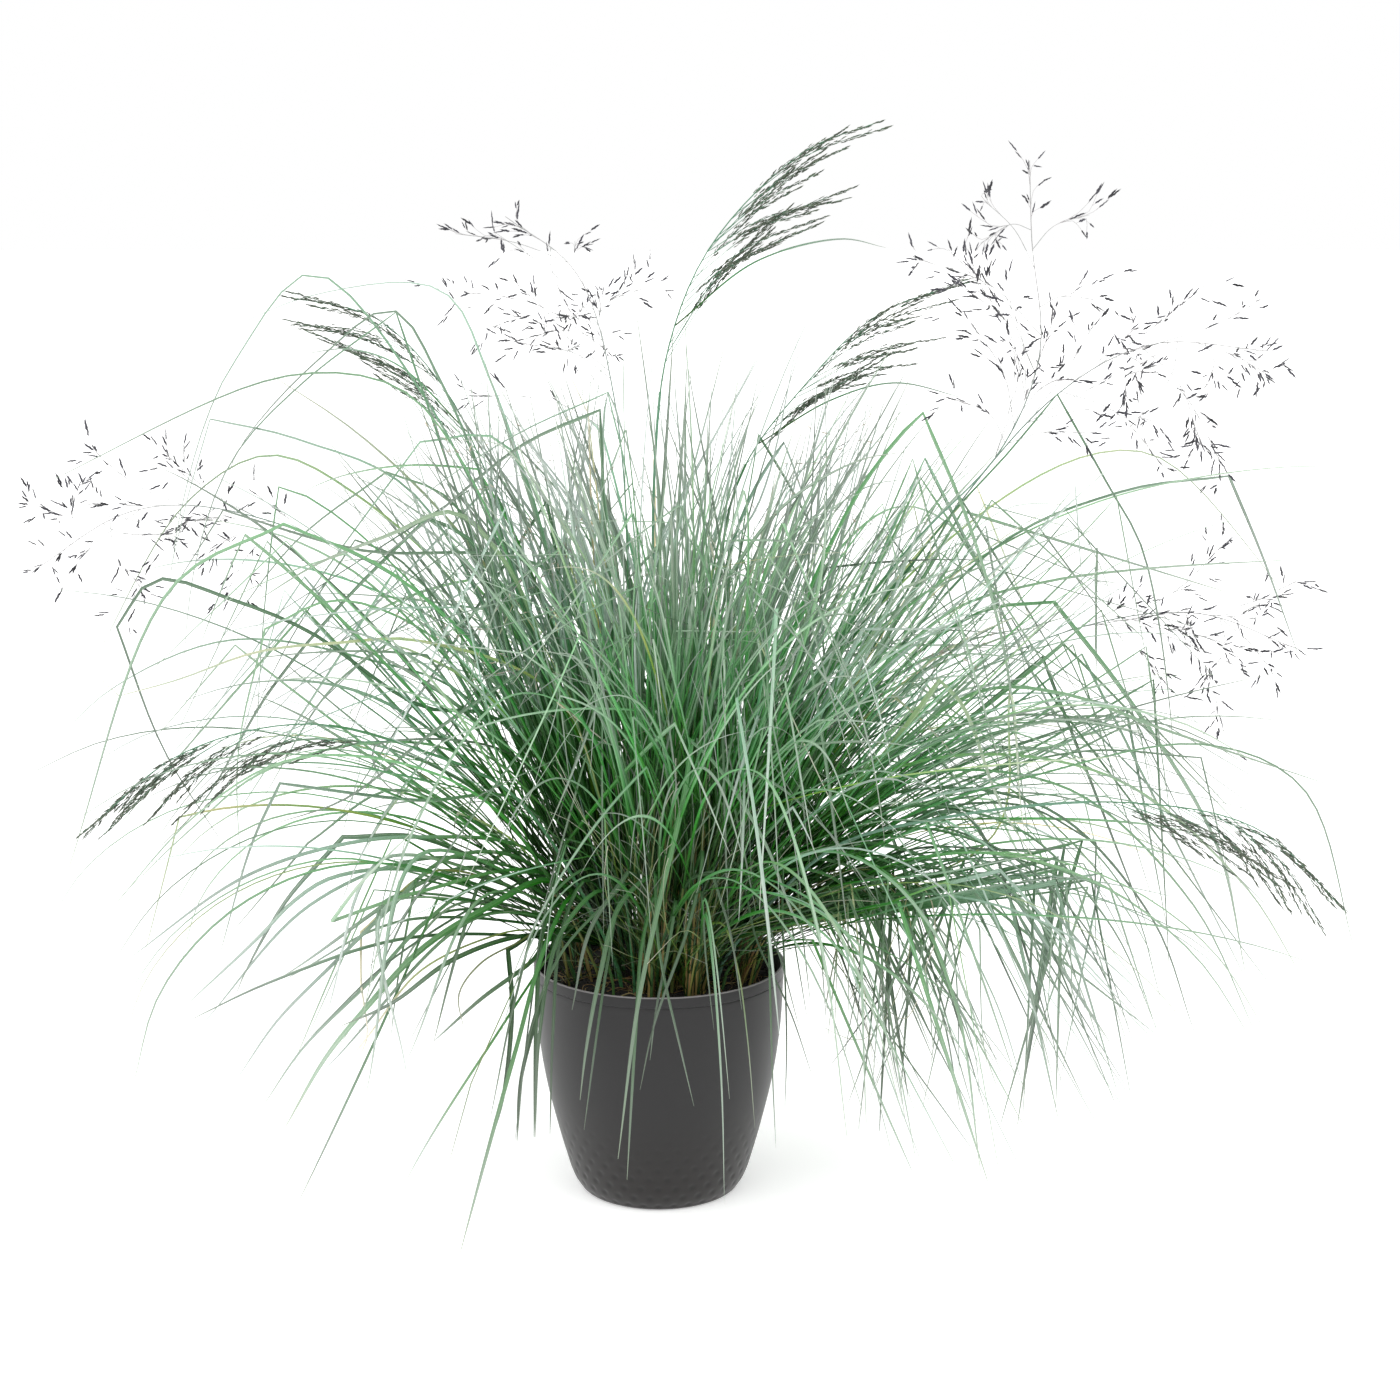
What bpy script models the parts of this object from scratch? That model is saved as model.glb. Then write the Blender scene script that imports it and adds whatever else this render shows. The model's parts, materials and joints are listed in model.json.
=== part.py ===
"""Potted lovegrass: an arching clump of thin keeled leaves and airy flower stems in a round plastic pot.

The origin is the middle of the pot's underside, +Z is up and the front is towards -Y. Each tuft is a bundle of
leaf sheaths fused with the leaves that grow from it. Tufts, long leaves and flower stems each stand on the soil
at a site of their own, and no leaf touches a leaf of another shoot.
"""

import math
from typing import NamedTuple

import bmesh
import bpy
import numpy as np
from mathutils import Vector

MM = 0.001
GAP = 0.4 * MM

# The pot is turned about Z. Its wall is given as radius and height, from the foot up to the rim.
POT_HEIGHT = 206 * MM
RIM_RADIUS = 110 * MM
WALL = 2.8 * MM
FLOOR = 4 * MM
WALL_CURVE = ((66, 0), (71, 4), (77, 14), (84, 36), (90.3, 59), (100.5, 103), (107, 149), (109.6, 195))
RIM_BAND = 10 * MM
RIM_ROUND = 0.6 * MM
GROOVE_DEPTH = 0.6 * MM
ROUND_STEPS = 38
DRAIN_HOLES = 5
DRAIN_CIRCLE = 40 * MM
DRAIN_RADIUS = 5 * MM
DRAIN_SIDES = 8

# The soil fills the pot. Its middle is level where the shoots stand, and it is lumpy out to the wall.
SOIL_TOP = 192 * MM
LEVEL_RADIUS = 88 * MM
LUMP_HEIGHT = 2.5 * MM
LUMPS_ROUND = (7, 11)

# The crown: shoots stand on a disk of this radius, each on its own site.
CROWN_RADIUS = 77 * MM
TUFTS = 26
LEAVES_PER_TUFT = 3
BUNDLE_RADIUS = 7 * MM
BUNDLE_TAPER = (0.9, 1.0, 0.5)
BUNDLE_LENGTH = 62 * MM
BUNDLE_SIDES = 5
LEAF_START = 0.78
GOLDEN_ANGLE = math.radians(137.508)

# A shoot rises nearly upright from its foot for this far, and moves out by this much, so its foot stays level.
UPRIGHT_START = 10 * MM
UPRIGHT_DRIFT = 0.6 * MM

# How far a tuft's shoots lean from the vertical in the middle of the crown, and how much more at its edge.
MIDDLE_LEAN = math.radians(4)
EDGE_LEAN = math.radians(38)

# Leaves. A section is a V seen from its end, closed across the top. Shares are of the leaf's greatest width.
LEAF_WIDTH = 7 * MM
LONG_LEAF_WIDTH = 6 * MM
KEEL_SHARE = 0.42
TUFT_LEAF_STEPS = 6
LONG_LEAF_STEPS = 9
FLAG_LEAF_STEPS = 4
FLAG_LEAF_SHARE = 0.7
FOOT_SHARE = 0.6
TIP_SHARE = 0.12
WIDEST_AT = 0.3
BEND_POWER = 1.25
LEAST_TIP_HEIGHT = 22 * MM
RIM_CLEARANCE = 11 * MM

# Flower stems.
CULM_RADIUS = 1.7 * MM
CULM_TAPER = 0.62
CULM_STEPS = 8
BRANCH_STEPS = 3
BRANCH_FOOT_SHARE = 0.2
BRANCH_TIP_SHARE = 0.25
BRANCH_BOW = 0.25
BRANCH_TURN = 0.23
DENSE_BRANCH_RADIUS = 2.4 * MM
OPEN_BRANCH_RADIUS = 1.1 * MM

# Clearance kept between the leaves of neighbouring shoots, and the spacing of the points it is measured at.
SAMPLE = 4 * MM
CLEARANCE = 3.4 * MM
MOST_TRIES = 400
FIRST_SEED = 400


class Stem(NamedTuple):
    """A flower stem: its foot on the soil, points that its culm passes, and its main branches, all in mm.

    A branch is the share of the culm that it starts at, and its tip. So is the flag leaf, with a route.
    """

    foot: tuple
    route: tuple
    branches: tuple
    flag_leaf: tuple = ()


# Flower stems with a young panicle that is dense, one-sided and drooping.
DENSE_STEMS = (
    Stem(
        (10, 0),
        ((-2, -5, 440), (-2, -20, 640), (10, -28, 742), (45, -35, 825), (120, -45, 900), (181, -50, 924)),
        ((0.72, (110, -20, 856)), (0.78, (139, -42, 849)), (0.83, (160, -58, 872)), (0.88, (153, -60, 903))),
        (0.70, ((81, -24, 812), (151, -40, 831), (187, -52, 824))),
    ),
    Stem(
        (28, 12),
        ((47, 40, 430), (68, 78, 615), (130, 100, 703), (195, 114, 763), (275, 120, 790)),
        ((0.72, (204, 128, 725)), (0.77, (226, 106, 719)), (0.83, (248, 100, 742)), (0.88, (262, 134, 773))),
        (0.66, ((150, 80, 690), (205, 66, 706), (266, 50, 693))),
    ),
    Stem(
        (-20, 15),
        ((-87, 50, 473), (-153, 75, 631), (-186, 90, 696), (-247, 98, 759), (-327, 100, 778)),
        ((0.74, (-281, 116, 735)), (0.80, (-307, 86, 749)), (0.86, (-329, 114, 757))),
        (0.70, ((-225, 76, 720), (-267, 66, 735), (-306, 55, 731))),
    ),
    Stem(
        (-40, -32),
        ((-115, -80, 369), (-193, -120, 421), (-281, -150, 449), (-376, -172, 430), (-459, -180, 365)),
        ((0.62, (-342, -140, 404)), (0.70, (-383, -190, 376)), (0.78, (-410, -158, 370)), (0.85, (-440, -194, 366))),
    ),
    Stem(
        (54, -32),
        ((145, -80, 326), (234, -110, 361), (380, -145, 383), (485, -160, 365), (557, -170, 299)),
        ((0.70, (485, -140, 321)), (0.76, (512, -180, 322)), (0.82, (518, -150, 292)), (0.88, (538, -182, 284))),
    ),
)

# Flower stems with an open panicle, whose thin branches spread round the culm's upper part.
OPEN_STEMS = (
    Stem(
        (-10, 26),
        ((-22, 70, 425), (-41, 160, 682), (-77, 195, 796), (-141, 210, 845)),
        (
            (0.66, (-187, 130, 690)),
            (0.70, (-55, 252, 735)),
            (0.74, (-124, 140, 735)),
            (0.78, (-199, 160, 782)),
            (0.82, (-21, 200, 779)),
            (0.86, (-80, 252, 822)),
            (0.90, (-185, 190, 830)),
        ),
    ),
    Stem(
        (44, -14),
        ((113, -25, 426), (205, -45, 571), (283, -60, 660), (312, -70, 740), (302, -80, 830), (298, -85, 893)),
        (
            (0.70, (236, -110, 707)),
            (0.74, (334, -30, 717)),
            (0.78, (253, -36, 792)),
            (0.82, (205, -100, 818)),
            (0.85, (354, -96, 784)),
            (0.89, (259, -122, 862)),
            (0.91, (352, -48, 850)),
        ),
    ),
    Stem(
        (50, 4),
        ((123, 12, 423), (221, 22, 557), (342, 38, 698), (423, 45, 740), (523, 50, 734)),
        (
            (0.68, (362, 4, 668)),
            (0.72, (396, 70, 802)),
            (0.76, (433, 14, 636)),
            (0.80, (479, 90, 792)),
            (0.84, (492, 62, 631)),
            (0.88, (510, 18, 779)),
            (0.92, (530, 84, 712)),
        ),
    ),
    Stem(
        (-34, 12),
        ((-122, 40, 431), (-228, 70, 532), (-387, 100, 591), (-474, 112, 587), (-562, 120, 534)),
        (
            (0.62, (-368, 80, 618)),
            (0.66, (-395, 160, 512)),
            (0.71, (-449, 144, 640)),
            (0.76, (-472, 70, 502)),
            (0.80, (-496, 84, 645)),
            (0.85, (-547, 134, 514)),
            (0.88, (-576, 152, 592)),
        ),
    ),
    Stem(
        (54, 36),
        ((126, 80, 358), (237, 130, 413), (385, 172, 472), (498, 188, 483), (598, 200, 446)),
        (
            (0.66, (438, 148, 504)),
            (0.71, (470, 160, 416)),
            (0.76, (523, 206, 545)),
            (0.80, (528, 190, 367)),
            (0.85, (585, 168, 517)),
            (0.88, (566, 152, 428)),
        ),
    ),
)

# The foot of each long leaf on the soil, and points that it passes, in mm.
LONG_LEAVES = (
    ((40, -4), ((114, 15, 418), (235, 30, 530), (378, 40, 605), (549, 48, 635), (638, 50, 627))),
    ((62, -42), ((186, -90, 346), (313, -130, 404), (442, -155, 434), (520, -162, 400), (569, -170, 258))),
    ((26, 20), ((160, 90, 460), (307, 140, 595), (399, 165, 635), (457, 175, 629), (552, 185, 534), (599, 190, 467))),
    ((-22, -10), ((-99, -30, 496), (-170, -50, 667), (-213, -60, 713), (-298, -80, 723), (-514, -105, 628))),
    ((-12, 32), ((-88, 80, 513), (-150, 120, 704), (-193, 140, 781), (-305, 158, 778), (-424, 170, 730))),
    ((-36, 22), ((-157, 66, 498), (-273, 94, 609), (-347, 108, 639), (-425, 122, 594), (-521, 136, 440))),
    ((-36, -20), ((-131, -60, 468), (-216, -90, 563), (-300, -110, 606), (-388, -130, 558), (-485, -145, 311))),
    ((-50, -46), ((-131, -96, 363), (-208, -138, 415), (-294, -170, 424), (-363, -188, 385), (-443, -204, 297))),
    ((-42, -62), ((-68, -108, 296), (-91, -150, 262), (-113, -176, 187), (-136, -192, 106), (-160, -202, 18))),
    ((34, 52), ((120, 200, 470), (230, 370, 560), (320, 490, 500), (370, 550, 380))),
    ((-24, 58), ((-90, 230, 440), (-160, 410, 500), (-200, 530, 400), (-220, 580, 280))),
    ((12, -62), ((40, -200, 400), (86, -360, 450), (120, -470, 360), (136, -520, 240))),
    ((-14, -56), ((-50, -160, 440), (-110, -300, 500), (-170, -420, 420), (-200, -480, 300))),
)

POT_COLOR = (0.075, 0.072, 0.074, 1)
SOIL_COLOR = (0.012, 0.009, 0.007, 1)
TUFT_COLORS = ((0.06, 0.20, 0.08, 1), (0.13, 0.27, 0.19, 1), (0.04, 0.14, 0.05, 1))
LONG_LEAF_COLOR = (0.09, 0.28, 0.08, 1)
DENSE_COLOR = (0.06, 0.09, 0.07, 1)
OPEN_COLOR = (0.24, 0.24, 0.26, 1)


def clear_scene():
    for thing in list(bpy.data.objects):
        bpy.data.objects.remove(thing, do_unlink=True)


def new_collection(name):
    collection = bpy.data.collections.new(name)
    bpy.context.scene.collection.children.link(collection)
    return collection


def new_material(name, color, roughness):
    material = bpy.data.materials.new(name)
    material.use_nodes = True
    shader = material.node_tree.nodes["Principled BSDF"]
    shader.inputs["Base Color"].default_value = color
    shader.inputs["Roughness"].default_value = roughness
    shader.inputs["Metallic"].default_value = 0
    material.diffuse_color = color
    return material


def new_object(name, data, collection):
    thing = bpy.data.objects.new(name, data)
    collection.objects.link(thing)
    return thing


def remove_object(thing):
    data = thing.data
    bpy.data.objects.remove(thing, do_unlink=True)
    if isinstance(data, bpy.types.Curve):
        bpy.data.curves.remove(data)
    else:
        bpy.data.meshes.remove(data)


def evaluated_mesh(thing):
    """A plain mesh of the object with its modifiers applied and the loose caps of a curve welded on."""
    graph = bpy.context.evaluated_depsgraph_get()
    mesh = bpy.data.meshes.new_from_object(thing.evaluated_get(graph))
    work = bmesh.new()
    work.from_mesh(mesh)
    bmesh.ops.remove_doubles(work, verts=work.verts, dist=0.001 * MM)
    bmesh.ops.recalc_face_normals(work, faces=work.faces)
    work.to_mesh(mesh)
    work.free()
    return mesh


def finish(thing, material, sharp_degrees=40):
    thing.data.materials.clear()
    thing.data.materials.append(material)
    thing.data.shade_smooth()
    thing.data.set_sharp_from_angle(angle=math.radians(sharp_degrees))


def outer_radius(height):
    radii, heights = zip(*WALL_CURVE)
    return float(np.interp(height / MM, heights, radii)) * MM


def inner_outline():
    """The pot's inside from the edge of its floor up to just under the rim, as radius and height."""
    heights = [FLOOR] + [z * MM for _, z in WALL_CURVE[3:-1]]
    points = [(outer_radius(z) - WALL, z) for z in heights]
    return points + [(RIM_RADIUS - WALL, POT_HEIGHT - RIM_ROUND)]


def inner_radius(height):
    radii, heights = zip(*inner_outline())
    return float(np.interp(height, heights, radii))


def turned(name, outline, collection):
    """A solid turned about Z from an outline that starts and ends on the axis."""
    mesh = bpy.data.meshes.new(name)
    points = [(radius, 0, height) for radius, height in outline]
    mesh.from_pydata(points, [(i, i + 1) for i in range(len(points) - 1)], [])
    thing = new_object(name, mesh, collection)
    screw = thing.modifiers.new("Turn", "SCREW")
    screw.steps = ROUND_STEPS
    screw.render_steps = ROUND_STEPS
    screw.use_merge_vertices = True
    screw.merge_threshold = 0.01 * MM
    return thing


def build_pot(collection, cutters):
    """The turned shell with its rim band, the groove under it, and the drain holes in its floor."""
    band_foot = POT_HEIGHT - RIM_BAND
    inside = inner_outline()
    rim = [
        (RIM_RADIUS - WALL + RIM_ROUND, POT_HEIGHT),
        (RIM_RADIUS - RIM_ROUND, POT_HEIGHT),
        (RIM_RADIUS, POT_HEIGHT - RIM_ROUND),
        (RIM_RADIUS, band_foot + GROOVE_DEPTH),
        (RIM_RADIUS - GROOVE_DEPTH - RIM_ROUND, band_foot),
    ]
    outside = [(radius * MM, height * MM) for radius, height in reversed(WALL_CURVE)]
    pot = turned("pot", [(0, FLOOR)] + inside + rim + outside + [(0, 0)], collection)
    for index in range(DRAIN_HOLES):
        angle = 2 * math.pi * index / DRAIN_HOLES
        bpy.ops.mesh.primitive_cylinder_add(
            vertices=DRAIN_SIDES,
            radius=DRAIN_RADIUS,
            depth=4 * FLOOR,
            location=(DRAIN_CIRCLE * math.cos(angle), DRAIN_CIRCLE * math.sin(angle), 0),
        )
        cutter = bpy.context.object
        cutter.name = f"drain_cutter_{index + 1}"
        for holder in list(cutter.users_collection):
            holder.objects.unlink(cutter)
        cutters.objects.link(cutter)
        cutter.hide_render = True
        cutter.display_type = "WIRE"
    holes = pot.modifiers.new("Drain holes", "BOOLEAN")
    holes.operation = "DIFFERENCE"
    holes.operand_type = "COLLECTION"
    holes.collection = cutters
    holes.solver = "EXACT"
    finish(pot, new_material("pot_plastic", POT_COLOR, 0.55), 30)


def build_soil(collection):
    """The soil follows the pot's inside, level where the shoots stand and lumpy round them."""
    side = [(inner_radius(z) - GAP, z) for z in [FLOOR + GAP] + [p[1] for p in inner_outline()[1:-1]]]
    top = [
        (inner_radius(SOIL_TOP) - GAP, SOIL_TOP - LUMP_HEIGHT),
        ((LEVEL_RADIUS + inner_radius(SOIL_TOP)) / 2, SOIL_TOP),
        (LEVEL_RADIUS, SOIL_TOP),
        (0, SOIL_TOP),
    ]
    guide = turned("soil_guide", [(0, FLOOR + GAP)] + side + top, collection)
    mesh = evaluated_mesh(guide)
    remove_object(guide)
    for vertex in mesh.vertices:
        radius = math.hypot(vertex.co.x, vertex.co.y)
        if vertex.co.z > SOIL_TOP - 1.5 * LUMP_HEIGHT and radius > LEVEL_RADIUS + MM:
            angle = math.atan2(vertex.co.y, vertex.co.x)
            lump = math.sin(LUMPS_ROUND[0] * angle + radius / LEVEL_RADIUS) * math.cos(LUMPS_ROUND[1] * angle)
            vertex.co.z += LUMP_HEIGHT * lump
    soil = new_object("potting_soil", mesh, collection)
    finish(soil, new_material("potting_soil", SOIL_COLOR, 0.95), 60)


def regular_corners(sides):
    """Corners of a regular outline of radius 1."""
    turns = [2 * math.pi * index / sides for index in range(sides)]
    return [(math.cos(turn), math.sin(turn)) for turn in turns]


def section_curve(name, corners, collection):
    """A closed outline that leaves and stems are swept with."""
    curve = bpy.data.curves.new(name, "CURVE")
    curve.dimensions = "2D"
    spline = curve.splines.new("POLY")
    spline.points.add(len(corners) - 1)
    for point, (x, y) in zip(spline.points, corners):
        point.co = (x, y, 0, 1)
    spline.use_cyclic_u = True
    thing = new_object(name, curve, collection)
    thing.hide_render = True
    thing.display_type = "WIRE"
    return thing


def smooth_path(points, steps):
    """Evenly spaced points on a smooth curve through the given points."""
    knots = [Vector(p) for p in points]
    ends = [knots[0] * 2 - knots[1]] + knots + [knots[-1] * 2 - knots[-2]]
    fine = []
    for before, start, stop, after in zip(ends, ends[1:], ends[2:], ends[3:]):
        for share in np.linspace(0, 1, 24, endpoint=False):
            fine.append(catmull_rom(before, start, stop, after, float(share)))
    fine.append(knots[-1])
    return even_points(fine, steps)


def catmull_rom(before, start, stop, after, share):
    """A point on the centripetal Catmull-Rom curve between start and stop."""
    knot = [0.0]
    for first, second in ((before, start), (start, stop), (stop, after)):
        knot.append(knot[-1] + max((second - first).length, MM) ** 0.5)
    t = knot[1] + (knot[2] - knot[1]) * share
    level = [before, start, stop, after]
    for spans in (((0, 1), (1, 2), (2, 3)), ((0, 2), (1, 3)), ((1, 2),)):
        shares = [(t - knot[low]) / (knot[high] - knot[low]) for low, high in spans]
        level = [first.lerp(second, share) for first, second, share in zip(level, level[1:], shares)]
    return level[0]


def even_points(points, steps):
    """The same path with points at equal distances along it."""
    line = np.array([tuple(p) for p in points])
    walked = np.concatenate([[0], np.cumsum(np.linalg.norm(np.diff(line, axis=0), axis=1))])
    marks = np.linspace(0, walked[-1], steps + 1)
    return [Vector([float(np.interp(m, walked, line[:, axis])) for axis in range(3)]) for m in marks]


def swept(points, radii, section, collection, tilt=0.0):
    """A closed mesh of the section carried along the points, scaled by the radii and turned by tilt.

    A leaf's section stays level. Any other section turns as little as it can.
    """
    curve = bpy.data.curves.new("sweep", "CURVE")
    curve.dimensions = "3D"
    curve.twist_mode = "Z_UP" if section.name == "leaf_section" else "MINIMUM"
    curve.bevel_mode = "OBJECT"
    curve.bevel_object = section
    curve.use_fill_caps = True
    spline = curve.splines.new("POLY")
    spline.points.add(len(points) - 1)
    for point, place, radius in zip(spline.points, points, radii):
        point.co = (*place, 1)
        point.radius = radius
        point.tilt = tilt
    thing = new_object("sweep", curve, collection)
    mesh = evaluated_mesh(thing)
    remove_object(thing)
    return mesh


def fused(name, meshes, material, collection):
    """One solid made of overlapping closed meshes, the first of which carries the others."""
    body = new_object(name, meshes[0], collection)
    if len(meshes) > 1:
        helpers = new_collection("helpers")
        for mesh in meshes[1:]:
            new_object("piece", mesh, helpers)
        union = body.modifiers.new("Fuse", "BOOLEAN")
        union.operation = "UNION"
        union.operand_type = "COLLECTION"
        union.collection = helpers
        union.solver = "EXACT"
        mesh = evaluated_mesh(body)
        merge_flat_faces(mesh)
        body.modifiers.clear()
        body.data = mesh
        for helper in list(helpers.objects):
            remove_object(helper)
        bpy.data.collections.remove(helpers)
    finish(body, material)


def merge_flat_faces(mesh):
    """Takes out the spare edges that a union leaves across flat faces."""
    work = bmesh.new()
    work.from_mesh(mesh)
    bmesh.ops.dissolve_limit(work, angle_limit=math.radians(1), verts=work.verts, edges=work.edges)
    bmesh.ops.triangulate(work, faces=work.faces)
    work.to_mesh(mesh)
    work.free()


def tapered(count, widest, widest_at=WIDEST_AT, foot=FOOT_SHARE, tip=TIP_SHARE):
    """Widths along a leaf or branch: from its foot up to where it is widest, then down to its tip."""
    widths = []
    for index in range(count):
        t = index / (count - 1)
        if t < widest_at:
            share = foot + (1 - foot) * math.sin(math.pi / 2 * t / widest_at)
        else:
            share = tip + (1 - tip) * math.cos(math.pi / 2 * (t - widest_at) / (1 - widest_at))
        widths.append(share * widest)
    return widths


def arching_path(start, azimuth, sweep, launch, droop, length, steps):
    """A leaf's path: it leaves its foot at launch from the vertical and bends down by droop to its tip."""
    parts = steps * 8
    place = Vector(start)
    fine = [place.copy()]
    for index in range(parts):
        t = (index + 0.5) / parts
        lean = launch + droop * t**BEND_POWER
        heading = azimuth + sweep * t
        flat = math.sin(lean)
        place += Vector((flat * math.cos(heading), flat * math.sin(heading), math.cos(lean))) * (length / parts)
        fine.append(place.copy())
    return even_points(fine, steps)


def samples(points, half_width):
    """Points close together along a path, each with the half width there as a fourth number."""
    line = np.array([tuple(p) for p in points])
    steps = max(2, int(np.linalg.norm(np.diff(line, axis=0), axis=1).sum() / SAMPLE))
    places = np.array([tuple(p) for p in even_points(points, steps)])
    return np.column_stack([places, np.full(len(places), half_width)])


def is_clear(candidate, taken):
    """Whether a sampled path keeps its distance from every sampled path already there."""
    reach = 4 * LEAF_WIDTH
    for other in taken:
        low = other[:, :3].min(axis=0) - reach
        high = other[:, :3].max(axis=0) + reach
        near = candidate[((candidate[:, :3] > low) & (candidate[:, :3] < high)).all(axis=1)]
        apart = near[:, None, :3] - other[None, :, :3]
        distance = np.sqrt((apart**2).sum(axis=2))
        if (distance < near[:, None, 3] + other[None, :, 3] + CLEARANCE).any():
            return False
    return True


def all_sites(count):
    """Feet spread evenly over the crown, as seeds in a flower head, from the middle outwards."""
    sites = []
    for index in range(count):
        radius = CROWN_RADIUS * math.sqrt((index + 0.5) / count)
        angle = GOLDEN_ANGLE * index
        sites.append((radius * math.cos(angle), radius * math.sin(angle)))
    return sites


def take_site(free, wish):
    """Removes the free site nearest to the wished place, in mm, and returns it as a point on the soil."""
    wished = Vector((wish[0] * MM, wish[1] * MM))
    best = min(free, key=lambda site: (Vector(site) - wished).length)
    free.remove(best)
    return Vector((*best, SOIL_TOP + GAP))


def over_foot(foot, heading):
    """The point just over a foot where the shoot starts to lean towards its heading."""
    return foot + Vector((math.cos(heading) * UPRIGHT_DRIFT, math.sin(heading) * UPRIGHT_DRIFT, UPRIGHT_START))


def path_from(foot, points_mm, steps):
    """A shoot's path from its foot, nearly upright at first, through the points of its route."""
    route = [Vector(p) * MM for p in points_mm]
    heading = math.atan2(route[0].y - foot.y, route[0].x - foot.x)
    return [foot] + smooth_path([over_foot(foot, heading)] + route, steps)


def build_long_leaves(free, sections, collection):
    """Returns the sampled paths of the long leaves."""
    material = new_material("long_leaf", LONG_LEAF_COLOR, 0.5)
    taken = []
    for index, (wish, points_mm) in enumerate(LONG_LEAVES):
        foot = take_site(free, wish)
        path = path_from(foot, points_mm, LONG_LEAF_STEPS)
        mesh = swept(path, tapered(len(path), LONG_LEAF_WIDTH), sections["leaf"], collection)
        fused(f"long_leaf_{index + 1:02d}", [mesh], material, collection)
        taken.append(samples(path, LONG_LEAF_WIDTH / 2))
    return taken


def branch_mesh(culm, share, tip, radius, turn, section, collection):
    """A branch that leaves the culm along it and bows out to its tip."""
    start = culm[round(share * 100)]
    end = Vector(tip) * MM
    along = (culm[min(100, round(share * 100) + 4)] - start).normalized()
    middle = start.lerp(end, 0.5) + (along * (end - start).length - (end - start)) * BRANCH_BOW / 2
    path = smooth_path([start, middle, end], BRANCH_STEPS)
    radii = tapered(len(path), radius, 0.5, BRANCH_FOOT_SHARE, BRANCH_TIP_SHARE)
    return swept(path, radii, section, collection, turn)


def build_stem(name, stem, branch_radius, free, material, sections, collection):
    """One flower stem with its main branches and, where it has one, its flag leaf. Returns its sampled path."""
    foot = take_site(free, stem.foot)
    path = path_from(foot, stem.route, CULM_STEPS)
    radii = [CULM_RADIUS * (1 - CULM_TAPER * i / (len(path) - 1)) for i in range(len(path))]
    meshes = [swept(path, radii, sections["culm"], collection)]
    culm = even_points(path, 100)
    for number, (share, tip) in enumerate(stem.branches):
        turn = BRANCH_TURN * (number + 2)
        meshes.append(branch_mesh(culm, share, tip, branch_radius, turn, sections["culm"], collection))
    if stem.flag_leaf:
        share, points_mm = stem.flag_leaf
        leaf = smooth_path([culm[round(share * 100)]] + [Vector(p) * MM for p in points_mm], FLAG_LEAF_STEPS)
        widths = tapered(len(leaf), LONG_LEAF_WIDTH * FLAG_LEAF_SHARE)
        meshes.append(swept(leaf, widths, sections["leaf"], collection))
    fused(name, meshes, material, collection)
    return samples(path, CULM_RADIUS)


def tuft_leaf(rng, start, heading, lean, edge):
    """A path for one leaf of a tuft. edge is 0 in the middle of the crown and 1 at its edge."""
    spread = math.radians(62 - 40 * edge)
    azimuth = heading + rng.uniform(-spread, spread)
    launch = lean + math.radians(rng.uniform(-5, 7))
    droop = math.radians(rng.uniform(18, 60) + 78 * edge**2)
    length = (rng.uniform(500, 640) - 100 * edge**2) * MM
    sweep = math.radians(rng.uniform(-16, 16))
    return arching_path(start, azimuth, sweep, launch, droop, length, TUFT_LEAF_STEPS)


def free_leaf(rng, start, heading, lean, edge, taken):
    """The first leaf path found that hits neither the pot nor another shoot, with its samples."""
    for _ in range(MOST_TRIES):
        path = tuft_leaf(rng, start, heading, lean, edge)
        sampled = samples(path, LEAF_WIDTH / 2)
        high_enough = min(point.z for point in path) > LEAST_TIP_HEIGHT
        if high_enough and clear_of_pot(path) and is_clear(sampled, taken):
            return path, sampled
    raise RuntimeError("no room is left for a leaf")


def build_tufts(free, taken, sections, collection):
    """A tuft on each free site: a bundle of sheaths that leans outwards, and the leaves that grow from it."""
    materials = [new_material(f"leaf_{i + 1}", color, 0.5) for i, color in enumerate(TUFT_COLORS)]
    for index, site in enumerate(free):
        rng = np.random.default_rng(FIRST_SEED + index)
        foot = Vector((*site, SOIL_TOP + GAP))
        edge = math.hypot(*site) / CROWN_RADIUS
        heading = math.atan2(foot.y, foot.x)
        lean = MIDDLE_LEAN + EDGE_LEAN * edge
        knee = over_foot(foot, heading)
        flat = math.sin(lean)
        top = knee + Vector((flat * math.cos(heading), flat * math.sin(heading), math.cos(lean))) * BUNDLE_LENGTH
        bundle = [foot, knee, top]
        meshes = [swept(bundle, [BUNDLE_RADIUS * share for share in BUNDLE_TAPER], sections["bundle"], collection)]
        own = [samples(bundle, BUNDLE_RADIUS * BUNDLE_TAPER[-1])]
        for _ in range(LEAVES_PER_TUFT):
            path, sampled = free_leaf(rng, knee.lerp(top, LEAF_START), heading, lean, edge, taken)
            meshes.append(swept(path, tapered(len(path), LEAF_WIDTH), sections["leaf"], collection))
            own.append(sampled)
        taken.extend(own)
        fused(f"leaf_tuft_{index + 1:02d}", meshes, materials[index % len(materials)], collection)


def clear_of_pot(path):
    """Whether a leaf passes over the rim, and down outside the wall, with room to spare."""
    for place in even_points(path, 60):
        radius = math.hypot(place.x, place.y)
        if place.z < POT_HEIGHT + RIM_CLEARANCE and abs(radius - RIM_RADIUS) < RIM_CLEARANCE:
            return False
    return True


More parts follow.
